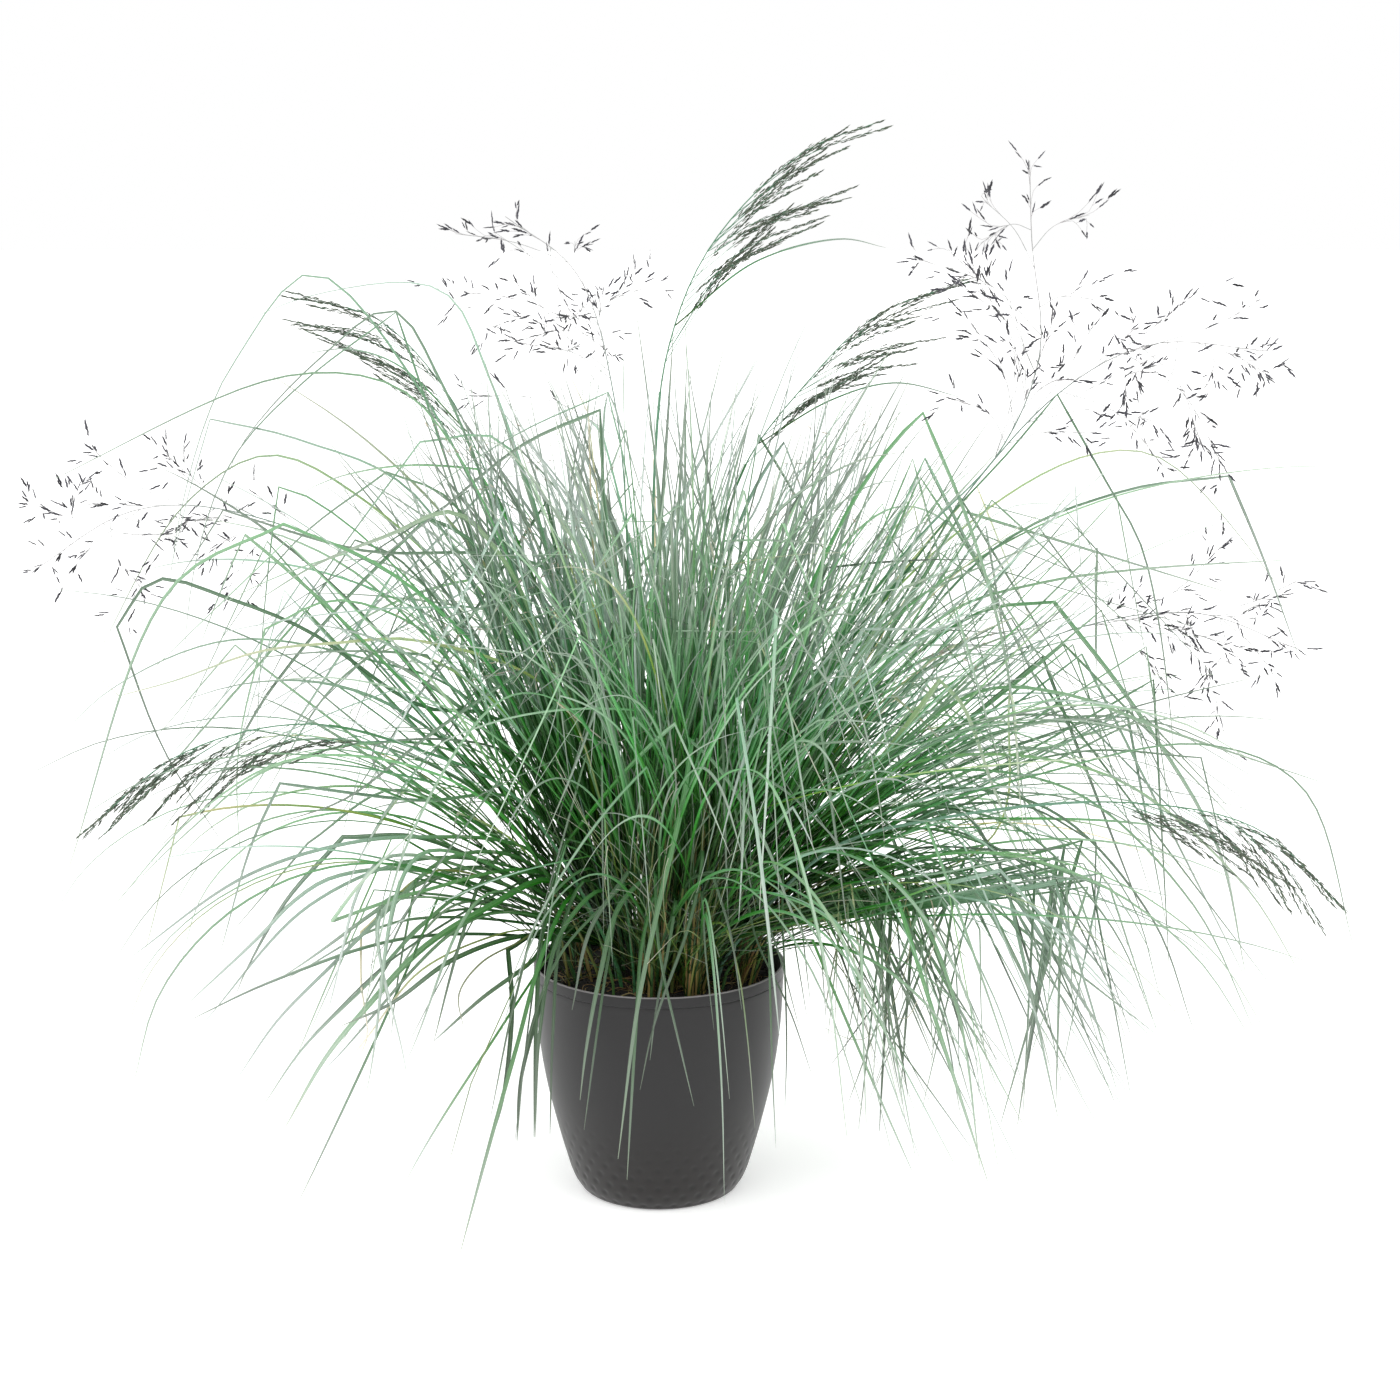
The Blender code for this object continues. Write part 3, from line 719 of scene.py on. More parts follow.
@dataclass(frozen=True)
class SoilFinish(Finish):
    """Damp peat compost: nearly black, dull and crumbly, with brown fibres."""

    name: str = "peat_compost"
    noise: Pair = (1 / (3.0 * MM), 5.0)
    relief: tuple[str, float, float] = ("noise", 0.8, 1.0)
    constants: tuple[tuple[str, float], ...] = (("Roughness", 0.92),)
    dark: str = "#0e0b09"
    light: str = "#3a2a1d"

    def color(self, tree: Tree, found: dict[str, Socket]) -> Socket:
        """Sets brown fibres in the dark compost.

        Args:
            tree: The material's tree.
            found: The sockets that the finish reads.

        Returns:
            The colour's socket.
        """
        steps = (
            ("fibre", "MapRange", "LINEAR", "noise", 0.5, 0.8),
            ("peat", "Mix", "MIX", "fibre", linear(self.dark), linear(self.light)),
        )
        calculate(tree, found, steps)
        return found["peat"]


class Palette:
    """The finishes as materials, made once."""

    def __init__(self) -> None:
        """Makes the materials."""
        self.leaf = LeafFinish().material()
        self.stalk = StalkFinish().material()
        self.dense = SpikeletFinish("young_spikelet_husk", dark="#363f35", light="#68715f").material()
        self.open = SpikeletFinish("ripe_spikelet_husk").material()
        self.young = SpikeletFinish("straw_spikelet_husk", dark="#7d7768", light="#b3a995").material()
        self.pot = PotFinish().material()
        self.soil = SoilFinish().material()


# Blades and stalks swept along lines


class Section(Enum):
    """What a guide line is swept into."""

    BLADE = 0.0
    STALK = 1.0


@dataclass
class Strands:
    """Guide lines of one piece, which Geometry Nodes sweep into keeled blades and round stalks."""

    lines: list[Line] = field(default_factory=list)
    widths: list[Line] = field(default_factory=list)
    tones: list[Line] = field(default_factory=list)
    turns: list[Line] = field(default_factory=list)
    marks: list[Pair] = field(default_factory=list)

    def add(self, line: Line, width: Any, section: Section, tone: Any, shade: float, turn: Any = 0.0) -> None:
        """Adds a guide line. Its width, tone and turn are for the whole line or for each point.

        Args:
            line: Its points in metres.
            width: Its full width in metres.
            section: Blade or stalk.
            tone: Its place in the finish's colours.
            shade: How light it is, from 0 to 1.
            turn: How far it is rolled about its line, in radians.
        """
        self.lines.append(line)
        for values, value in ((self.widths, width), (self.tones, tone), (self.turns, turn)):
            values.append(np.broadcast_to(value, len(line)))
        self.marks.append((section.value, shade))

    def swept(self, name: str, palette: Palette, sides: int = 6) -> Thing:
        """Sweeps every line into one mesh.

        Args:
            name: The piece's name.
            palette: The finishes.
            sides: How many sides a stalk has.

        Returns:
            The plain mesh object.
        """
        counts = [len(line) for line in self.lines]
        starts = np.concatenate([[0], np.cumsum(counts)])
        edges = [(i, i + 1) for start, stop in zip(starts, starts[1:]) for i in range(start, stop - 1)]
        thing = mesh_object(name, np.concatenate(self.lines), edges)
        for label, values in (("width", self.widths), ("tone", self.tones), ("turn", self.turns)):
            store(thing.data, label, np.concatenate(values))
        for column, label in enumerate(("stalk", "shade")):
            store(thing.data, label, np.repeat([mark[column] for mark in self.marks], counts))
        values = {"Leaf finish": palette.leaf, "Stalk finish": palette.stalk, "Stalk sides": sides}
        run_tree(thing, strand_tree(), values)
        return thing


def strand_tree() -> Tree:
    """Gives the tree that sweeps guide lines. It is built once.

    Returns:
        A tree that takes the finishes, a stalk's sides, and a blade's keel and thickness as width shares.
    """
    name = "sweep_strands"
    if name in bpy.data.node_groups:
        return bpy.data.node_groups[name]
    shares = {"Keel share": 0.3, "Thickness share": 0.1}
    sockets = {"Leaf finish": "Material", "Stalk finish": "Material", "Stalk sides": "Int"}
    tree, given = new_tree(name, sockets | dict.fromkeys(shares, "Float"))
    for item in tree.interface.items_tree:
        if item.name in shares:
            item.default_value = shares[item.name]
    place = add_node(tree, "GeometryNodeInputPosition").outputs[0]
    parts = add_node(tree, "ShaderNodeSeparateXYZ", None, {0: place})
    found = {"keel": given["Keel share"], "thickness": given["Thickness share"], "x": parts.outputs["X"]}
    for label in ("width", "turn", "stalk"):
        stored = add_node(tree, "GeometryNodeInputNamedAttribute", {"data_type": "FLOAT"}, {"Name": label})
        found[label] = stored.outputs[0]
    steps = (
        ("depth", "Math", "ADD", "keel", "thickness"),
        ("across", "Math", "MULTIPLY", "x", 2.0),
        ("is stalk", "Math", "GREATER_THAN", "stalk", 0.5),
    )
    calculate(tree, found, steps)
    rails = add_node(tree, "GeometryNodeMeshToCurve", None, {"Mesh": given["Geometry"]})
    inputs = {"Curve": rails.outputs[0], "Tilt": found["turn"]}
    rolled = add_node(tree, "GeometryNodeSetCurveTilt", None, inputs)
    keel, under = (
        add_node(tree, "ShaderNodeCombineXYZ", None, {"Y": found[height]}).outputs[0]
        for height in ("keel", "depth")
    )
    corners = {7: (-0.5, 0, 0), 8: keel, 9: (0.5, 0, 0), 10: under}
    fold = add_node(tree, "GeometryNodeCurvePrimitiveQuadrilateral", {"mode": "POINTS"}, corners)
    along = add_node(tree, "GeometryNodeSplineParameter").outputs["Factor"]
    marked, blade = (
        add_node(
            tree, "GeometryNodeStoreNamedAttribute", {"data_type": "FLOAT", "domain": "POINT"},
            {"Geometry": curve.outputs[0], "Name": label, "Value": value},
        ).outputs[0]
        for curve, label, value in ((rolled, "along", along), (fold, "across", found["across"]))
    )
    inputs = {"Geometry": marked, "Selection": found["is stalk"]}
    split = add_node(tree, "GeometryNodeSeparateGeometry", {"domain": "CURVE"}, inputs)
    inputs = {"Resolution": given["Stalk sides"], "Radius": 0.5}
    ring = add_node(tree, "GeometryNodeCurvePrimitiveCircle", None, inputs).outputs[0]
    both = add_node(tree, "GeometryNodeJoinGeometry")
    for part, section in (("Inverted", blade), ("Selection", ring)):
        inputs = {"Profile Curve": section, "Scale": found["width"], "Fill Caps": True}
        swept = add_node(tree, "GeometryNodeCurveToMesh", None, {"Curve": split.outputs[part]} | inputs)
        tree.links.new(swept.outputs[0], both.inputs[0])
    stalk = {"Selection": found["is stalk"], "Material": given["Stalk finish"]}
    end_tree(tree, both.outputs[0], {"Material": given["Leaf finish"]}, stalk)
    return tree


def blade_widths(count: int, widest: float, foot_share: float = 0.3) -> Line:
    """Gives the widths along a blade: a rolled foot, the widest part near the middle, and a sharp tip.

    Args:
        count: Number of points along the blade.
        widest: Its greatest width.
        foot_share: The foot's width as a share of that.

    Returns:
        A width for each point.
    """
    t = np.linspace(0.0, 1.0, count)
    rise = foot_share + (1 - foot_share) * np.sin(np.clip(t / 0.35, 0, 1) * math.pi / 2)
    fall = 1 - 0.9 * np.clip((t - 0.5) / 0.5, 0, 1) ** 2.8
    return widest * rise * fall


@dataclass
class Shoot:
    """One shoot: a rolled sheath that rises from the soil, and the blades that part from it near its top.

    Its youngest blades stand nearly upright, its other ones arch up to as far as the leaf that it gathers
    round, and its oldest ones part low down and hang past the rim.
    """

    rng: np.random.Generator
    lean: Line
    heading: Line
    length: float
    sheath_mm: Pair = (70.0, 190.0)
    blades: Pair = (5, 7)
    old_blades: int = 0
    old_length: Pair = (0.26, 0.46)
    widths_mm: Pair = (1.4, 3.0)
    arch: Pair = (0.35, 1.05)
    reach: Pair = (0.4, 1.0)
    bend: Pair = (0.1, 0.9)
    ceiling: Pair = (0.66, 0.065)
    spread: float = 0.34
    crossing: float = 0.18
    creased: float = 0.36
    bluest: float = 1.0
    threads: int = 1
    points: int = 26

    def grow(self, strands: Strands, foot: Line) -> None:
        """Adds the shoot's sheath and blades.

        Args:
            strands: The strands of the piece that the shoot belongs to.
            foot: Where the shoot leaves the soil.
        """
        rng = self.rng
        tall = rng.uniform(*self.sheath_mm) * MM
        arch = rng.uniform(*self.arch)
        lean = self.lean[0] * arch * np.linspace(0.6, 1.1, 9) + rng.normal(0, 0.03)
        sheath = grown(foot, lean, np.full(9, self.heading[0]), tall)
        girth = rng.uniform(1.4, 2.6) * MM
        dryness = rng.choice([0.02, 0.12, 0.24, 0.4, 0.5], p=[0.1, 0.32, 0.34, 0.14, 0.1])
        tone = dryness + (0.45 - dryness) * np.linspace(0, 1, 10) ** 2
        strands.add(sheath, girth * np.linspace(1.0, 0.7, 10), Section.STALK, tone, rng.uniform(0.0, 1.0))
        for _ in range(rng.integers(self.blades[0], self.blades[1] + 1)):
            leave = int(rng.integers(4, 10))
            own_arch = arch * rng.uniform(0.7, 1.3)
            ceiling = rng.normal(*self.ceiling)
            for attempt in range(12):
                line = self.blade_line(sheath[leave], own_arch, 0.06 * attempt)
                if is_free(line, ceiling):
                    self.add_blade(strands, line, 1.0)
                    break
        for _ in range(self.old_blades):
            start = sheath[int(rng.integers(1, 4))]
            for _ in range(6):
                line = self.old_line(start)
                if is_free(line):
                    self.add_blade(strands, line, 0.9)
                    break
        for _ in range(self.threads):
            self.add_thread(strands, sheath[int(rng.integers(0, 4))])

    def add_thread(self, strands: Strands, start: Line) -> None:
        """Adds a thin dry or dark remnant of an old blade that strays between the stems.

        Args:
            strands: The strands of the piece.
            start: Where it parts from the sheath.
        """
        rng = self.rng
        t = np.linspace(0.0, 1.0, 10)
        lean = rng.uniform(0.1, 0.9) + rng.uniform(-0.3, 1.1) * t + 0.15 * np.sin(t * rng.uniform(3, 9))
        swing = self.heading[0] + rng.normal(0, 1.1) + rng.normal(0, 0.8) * t
        line = grown(start, np.clip(lean, 0.02, 2.3), swing, rng.uniform(0.07, 0.22))
        if is_free(line):
            width = np.linspace(1.5, 0.7, len(line)) * rng.uniform(0.6, 1.1) * MM
            strands.add(line, width, Section.BLADE, rng.choice([0.0, 0.05, 0.12, 0.5]), rng.uniform(0, 0.4))

    def add_blade(self, strands: Strands, line: Line, broad: float) -> None:
        """Adds a blade with a tone, a width and a twist of its own.

        Args:
            strands: The strands of the piece.
            line: The blade's points.
            broad: Its width as a share of a usual one's.
        """
        rng = self.rng
        tone = min(leaf_tone(rng), self.bluest)
        dry = 0.6 if tone < 0.1 else 1.0
        strong = 1.35 if rng.uniform() < 0.18 else 1.0
        width = blade_widths(len(line), rng.uniform(*self.widths_mm) * broad * dry * strong * MM)
        turn = rng.uniform(-1.5, 0.8) + rng.normal(0, 0.7) * np.linspace(-0.3, 1, len(line))
        strands.add(line, width, Section.BLADE, tone, rng.uniform(0, 1), turn)

    def blade_line(self, start: Line, arch: float = 1.0, ease: float = 0.0) -> Line:
        """Draws one blade's line as a change of the shoot's own. A shorter blade is straighter.

        Args:
            start: Where the blade parts from the sheath.
            arch: How far it leans, as a share of the shoot's lean.
            ease: How much straighter and shorter than usual it is kept, to clear the pot and stay low enough.

        Returns:
            The line's points.
        """
        rng = self.rng
        steps = self.points - 1
        share = rng.uniform(*self.reach)
        t = np.linspace(0.0, 1.0, steps)
        own = np.interp(t * (0.25 + 0.75 * share), np.linspace(0, 1, len(self.lean)), self.lean)
        own = own.mean() + (own - own.mean()) * rng.uniform(*self.bend)
        heading = np.interp(t, np.linspace(0, 1, len(self.heading)), self.heading)
        is_crossing = rng.uniform() < self.crossing
        spread = rng.normal(0, 1.3 if is_crossing else self.spread)
        wave = 0.03 * np.sin(t * rng.uniform(3, 8) + rng.uniform(0, 6))
        droop = rng.uniform(-0.25, 0.5) - ease
        lean = own * arch * (0.6 if is_crossing else 1.0) + rng.normal(0, 0.1) + droop * t**1.6 + wave
        swing = heading + spread + rng.normal(0, 0.3) * t + wave * rng.normal(0, 1.5)
        if rng.uniform() < self.creased:
            crease = rng.uniform(0.45, 0.85)
            hangs = rng.uniform() < 0.5
            folded = rng.uniform(2.1, 2.9) + 0.2 * lean if hangs else lean + rng.uniform(0.4, 1.4)
            lean = np.where(t > crease, folded, lean)
            swing = swing + np.where(t > crease, rng.normal(0, 0.5), 0.0)
        return grown(start, np.clip(lean, 0.02, 2.85), swing, self.length * share * (1 - 0.7 * ease))

    def old_line(self, start: Line) -> Line:
        """Draws an old blade that leans out low and hangs.

        Args:
            start: Where it parts from the sheath.

        Returns:
            The line's points.
        """
        rng = self.rng
        t = np.linspace(0.0, 1.0, self.points - 1)
        lean = rng.uniform(0.55, 1.15) + rng.uniform(0.8, 1.5) * t ** rng.uniform(0.9, 1.7)
        if rng.uniform() < 0.5:
            lean = np.where(t > rng.uniform(0.35, 0.7), rng.uniform(2.3, 2.8), lean)
        swing = self.heading[0] + rng.normal(0, 0.5) + rng.normal(0, 0.35) * t
        return grown(start, np.clip(lean, 0.02, 2.85), swing, rng.uniform(*self.old_length))


def leaf_tone(rng: np.random.Generator) -> float:
    """Draws a blade's tone: mostly green, many bluish, a few yellow-green and dry."""
    kind = rng.choice(5, p=[0.008, 0.052, 0.45, 0.2, 0.29])
    low, high = ((0.0, 0.08), (0.1, 0.2), (0.25, 0.52), (0.5, 0.68), (0.74, 1.0))[kind]
    return float(rng.uniform(low, high))


class TuftPlace(Enum):
    """Where a tuft stands in the clump, with what sets its shoots apart from usual ones."""

    INNER = {"arch": (0.5, 1.35), "spread": 0.6, "bend": (0.0, 0.7), "ceiling": (0.69, 0.07)}
    FRONT = {
        "arch": (0.15, 0.7), "sheath_mm": (120.0, 240.0), "threads": 5, "blades": (4, 6), "crossing": 0.12,
        "widths_mm": (1.2, 2.4), "bluest": 0.56,
    }
    RIGHT = {"old_blades": 2, "old_length": (0.3, 0.6), "bluest": 0.88}
    LEFT = {"blades": (2, 3), "old_length": (0.2, 0.46)}
    BACK = {}


@dataclass
class LeafTuft:
    """A tuft of shoots in place of a tuft solid, whose three leaves are the lines that its blades follow."""

    number: int
    shoots: int = 8
    left_shoots: int = 3
    inner_shoots: int = 4
    foot_radius_mm: float = 8.0
    outer_radius_mm: float = 40.0
    front_half_angle: float = 0.65
    first_seed: int = 4100

    def build(self, palette: Palette) -> None:
        """Builds the tuft's piece."""
        node = f"leaf_tuft_{self.number:02d}"
        rng = np.random.default_rng(self.first_seed + self.number)
        guides = leaf_lines(node)
        middle = guides[0][0]
        outward = math.atan2(middle[1], middle[0])
        is_outer = math.hypot(middle[0], middle[1]) > self.outer_radius_mm * MM
        place = self.place(outward) if is_outer else TuftPlace.INNER
        strands = Strands()
        for guide in guides:
            width = blade_widths(30, rng.uniform(1.9, 3.1) * MM)
            turn = rng.uniform(-0.8, 0.8) + rng.normal(0, 0.5) * np.linspace(-0.3, 1, 30)
            tone = min(leaf_tone(rng), rng.uniform(0.5, 0.84), 0.44 if place is TuftPlace.FRONT else 1.0)
            strands.add(even(guide, 30), width, Section.BLADE, tone, rng.uniform(0, 0.6), turn)
        shoots = self.inner_shoots
        if is_outer:
            shoots = self.left_shoots if math.cos(outward) < -0.35 else self.shoots
        for index in range(shoots):
            guide = guides[index % len(guides)]
            lean, heading = angles_of(guide)
            reach = self.foot_radius_mm * MM * math.sqrt(rng.uniform(0.05, 1))
            round_foot = rng.uniform(0, 2 * math.pi)
            foot = middle + [reach * math.cos(round_foot), reach * math.sin(round_foot), -0.5 * MM]
            lean = np.maximum(lean + rng.normal(0, 0.07), 0.02)
            heading = heading + rng.normal(0, 0.2)
            shoot = Shoot(rng, lean, heading, length_of(guide), **place.value)
            if place is TuftPlace.LEFT:
                shoot.old_blades = int(index == 0)
            elif place is TuftPlace.BACK:
                shoot.old_blades = int(index % 2 == 0)
            shoot.grow(strands, foot)
        settle(strands.swept(f"{node}_blades", palette), (node,))

    def place(self, outward: float) -> TuftPlace:
        """Tells where an outer tuft stands.

        Args:
            outward: Its direction from the pot's axis, in radians.

        Returns:
            Its place.
        """
        if abs(math.remainder(outward + math.pi / 2, 2 * math.pi)) < self.front_half_angle:
            return TuftPlace.FRONT
        side = math.cos(outward)
        if side > 0.1:
            return TuftPlace.RIGHT
        return TuftPlace.LEFT if side < -0.35 else TuftPlace.BACK


@dataclass
class LongLeaf:
    """A shoot with one leaf that reaches well past the clump, along the same route as its solid."""

    number: int
    route_mm: tuple[Triple, ...]
    tone: float
    width_mm: float = 4.2
    fold: int | None = None

    def build(self, palette: Palette) -> None:
        """Builds the shoot's piece."""
        node = f"long_leaf_{self.number:02d}"
        rng = np.random.default_rng(700 + self.number)
        strands = Strands()
        line = smooth(from_foot(node, self.route_mm), 46, None if self.fold is None else self.fold + 2)
        width = blade_widths(len(line), self.width_mm * MM)
        strands.add(line, width, Section.BLADE, self.tone, rng.uniform(0.3, 0.9), rng.normal(0, 0.15))
        strands.add(line[:9], np.linspace(2.8, 1.8, 9) * MM, Section.STALK, rng.uniform(0.2, 0.6), 0.5)
        lean, heading = angles_of(line)
        for leave in (5, 7, 9):
            side = Shoot(rng, lean[leave:], heading[leave:], length_of(line) * rng.uniform(0.5, 0.85))
            branch = side.blade_line(line[leave])
            if is_free(branch, 0.66):
                side.add_blade(strands, branch, 0.85)
        settle(strands.swept(f"{node}_blade", palette), (node,))


def from_foot(node: str, route_mm: tuple[Triple, ...]) -> Line:
    """Leads a route up from where a shoot's solid stands on the soil.

    Args:
        node: The solid's node.
        route_mm: The route's points.

    Returns:
        The foot, the point just over it where the shoot starts to lean, and the route's points, in metres.
    """
    corners = np.array([vertex.co for vertex in frame["nodes"][node].data.vertices])
    near_axis = np.hypot(corners[:, 0], corners[:, 1]) < 90 * MM
    foot = corners[near_axis & (abs(corners[:, 2] - SOIL_TOP) < 1.5 * MM)].mean(axis=0)
    away = unit(np.array(route_mm[0][:2]) * MM - foot[:2])
    over = foot + [away[0] * 0.6 * MM, away[1] * 0.6 * MM, 10 * MM]
    return np.vstack([foot, over, np.array(route_mm) * MM])


LONG_LEAVES = (
    LongLeaf(1, ((114, 15, 418), (235, 30, 530), (378, 40, 605), (549, 48, 635), (638, 50, 627)), 0.3, 3.2),
    LongLeaf(
        2, ((186, -90, 346), (313, -130, 404), (442, -155, 434), (520, -162, 400), (569, -170, 258)), 0.5,
    ),
    LongLeaf(
        3,
        ((160, 90, 460), (307, 140, 595), (399, 165, 635), (457, 175, 629), (552, 185, 534), (599, 190, 467)),
        0.16, 3.6,
    ),
    LongLeaf(
        4, ((-99, -30, 496), (-170, -50, 667), (-213, -60, 713), (-298, -80, 723), (-514, -105, 628)), 0.45,
    ),
    LongLeaf(
        5, ((-88, 80, 513), (-150, 120, 704), (-193, 140, 781), (-305, 158, 778), (-424, 170, 730)), 0.85, 3,
    ),
    LongLeaf(
        6, ((-157, 66, 498), (-273, 94, 609), (-347, 108, 639), (-425, 122, 594), (-521, 136, 440)), 0.2,
    ),
    LongLeaf(
        7, ((-131, -60, 468), (-216, -90, 563), (-300, -110, 606), (-388, -130, 558), (-485, -145, 311)),
        0.42, 5.0, 2,
    ),
    LongLeaf(
        8, ((-131, -96, 363), (-208, -138, 415), (-294, -170, 424), (-363, -188, 385), (-443, -204, 297)),
        0.35,
    ),
    LongLeaf(
        9, ((-68, -108, 296), (-91, -150, 262), (-113, -176, 187), (-136, -192, 106), (-160, -202, 18)), 0.46,
        3.8,
    ),
    LongLeaf(10, ((120, 200, 470), (230, 370, 560), (320, 490, 500), (370, 550, 380)), 0.4),
    LongLeaf(11, ((-90, 230, 440), (-160, 410, 500), (-200, 530, 400), (-220, 580, 280)), 0.8),
    LongLeaf(12, ((40, -200, 400), (86, -360, 450), (120, -470, 360), (136, -520, 240)), 0.34, 2.4),
    LongLeaf(13, ((-50, -160, 440), (-110, -300, 500), (-170, -420, 420), (-200, -480, 300)), 0.42, 2.6),
)


# Leaves that the photograph shows one by one


@dataclass(frozen=True)
class Viewpoint:
    """The camera of the photograph, worked out from the ellipses of the pot's rim and foot."""

    place_mm: Triple = (36.0, -2200.0, 880.0)
    pitch_deg: float = 11.345
    lens_mm: float = 67.0
    sensor_mm: float = 36.0
    picture_px: float = 1400.0

    def place(self, px: float, py: float, depth_mm: float) -> Line:
        """Finds the point that a picture point shows, at a depth.

        Args:
            px: Picture column.
            py: Picture row.
            depth_mm: Distance behind the pot's axis, less than 0 in front of it.

        Returns:
            The place in metres.
        """
        focal = self.lens_mm / self.sensor_mm * self.picture_px
        across, upward = (px - self.picture_px / 2) / focal, (self.picture_px / 2 - py) / focal
        sine, cosine = math.sin(math.radians(self.pitch_deg)), math.cos(math.radians(self.pitch_deg))
        ray = np.array([across, cosine + upward * sine, upward * cosine - sine])
        origin = np.array(self.place_mm)
        return (origin + ray * (depth_mm - origin[1]) / ray[1]) * MM

    def make_camera(self) -> None:
        """Adds the camera to the scene."""
        camera = bpy.data.cameras.new("photo_camera")
        camera.lens = self.lens_mm
        camera.sensor_width = self.sensor_mm
        thing = bpy.data.objects.new("photo_camera", camera)
        thing.location = [value * MM for value in self.place_mm]
        thing.rotation_euler = (math.radians(90 - self.pitch_deg), 0, 0)
        bpy.context.scene.collection.objects.link(thing)
        bpy.context.scene.camera = thing


@dataclass(frozen=True)
class SeenLeaf:
    """A leaf routed by picture points, with its tip's depth. It bends sharply at the point numbered fold."""

    route_px: tuple[Pair, ...]
    tip_depth_mm: float
    tone: float
    width_mm: float = 3.6
    fold: int | None = None
    apex_depth_mm: float | None = None


FRONT_LEAVES = (
    SeenLeaf(((692, 738), (683, 801), (662, 891), (638, 1005), (618, 1159)), -215, 0.42, 4.2, 0, -150),
    SeenLeaf(((692, 742), (716, 765), (766, 845), (791, 910), (830, 985)), -215, 0.52, 3.8, 0, -150),
    SeenLeaf(((722, 774), (764, 778), (826, 829), (880, 905)), -200, 0.58, 3.0, None, -140),
    SeenLeaf(((600, 850), (566, 838), (546, 907), (530, 1010), (515, 1140)), -180, 0.58, 3.4, 1, -120),
    SeenLeaf(((652, 876), (620, 905), (599, 980), (586, 1050), (580, 1100)), -205, 0.5, 4.0, None, -120),
    SeenLeaf(((630, 882), (601, 908), (560, 955), (528, 1040), (517, 1141)), -195, 0.56, 3.8, None, -120),
    SeenLeaf(((703, 850), (699, 882), (687, 931), (654, 1025), (640, 1090)), -195, 0.62, 3.0, None, -130),
    SeenLeaf(((656, 872), (658, 933), (664, 974), (680, 1045), (694, 1106)), -200, 0.4, 4.4, None, -130),
    SeenLeaf(((755, 860), (768, 923), (771, 990), (773, 1070), (776, 1148)), -185, 0.4, 4.2, None, -120),
    SeenLeaf(((779, 850), (783, 923), (786, 990), (787, 1050), (785, 1107)), -170, 0.5, 3.6, None, -110),
    SeenLeaf(((654, 895), (642, 944), (636, 1025), (627, 1180)), -200, 0.5, 3.0, None, -130),
    SeenLeaf(((724, 925), (738, 968), (748, 1040), (755, 1128)), -180, 0.1, 2.4, None, -130),
    SeenLeaf(((622, 893), (608, 960), (596, 1040), (584, 1130)), -190, 0.55, 3.0, None, -120),
    SeenLeaf(((600, 890), (560, 935), (540, 1030), (535, 1138)), -185, 0.46, 3.6, None, -120),
    SeenLeaf(((590, 868), (545, 905), (515, 1000), (491, 1115)), -170, 0.54, 3.4, None, -100),
    SeenLeaf(((585, 880), (562, 930), (553, 1030), (550, 1134)), -170, 0.6, 3.0, None, -110),
    SeenLeaf(((700, 890), (706, 960), (714, 1030)), -190, 0.48, 2.6, None, -130),
    SeenLeaf(((740, 880), (757, 940), (790, 1010), (812, 1075)), -190, 0.62, 3.2, None, -120),
    SeenLeaf(((735, 862), (748, 876), (777, 945), (800, 1030)), -180, 0.58, 4.2, 1, -110),
    SeenLeaf(((640, 878), (628, 872), (590, 930), (572, 1010)), -190, 0.62, 3.8, 1, -120),
    SeenLeaf(((690, 880), (712, 872), (731, 935), (742, 1010)), -190, 0.56, 3.6, 1, -120),
    SeenLeaf(((676, 900), (668, 950), (656, 1010), (650, 1060)), -190, 0.45, 3.4, None, -130),
)

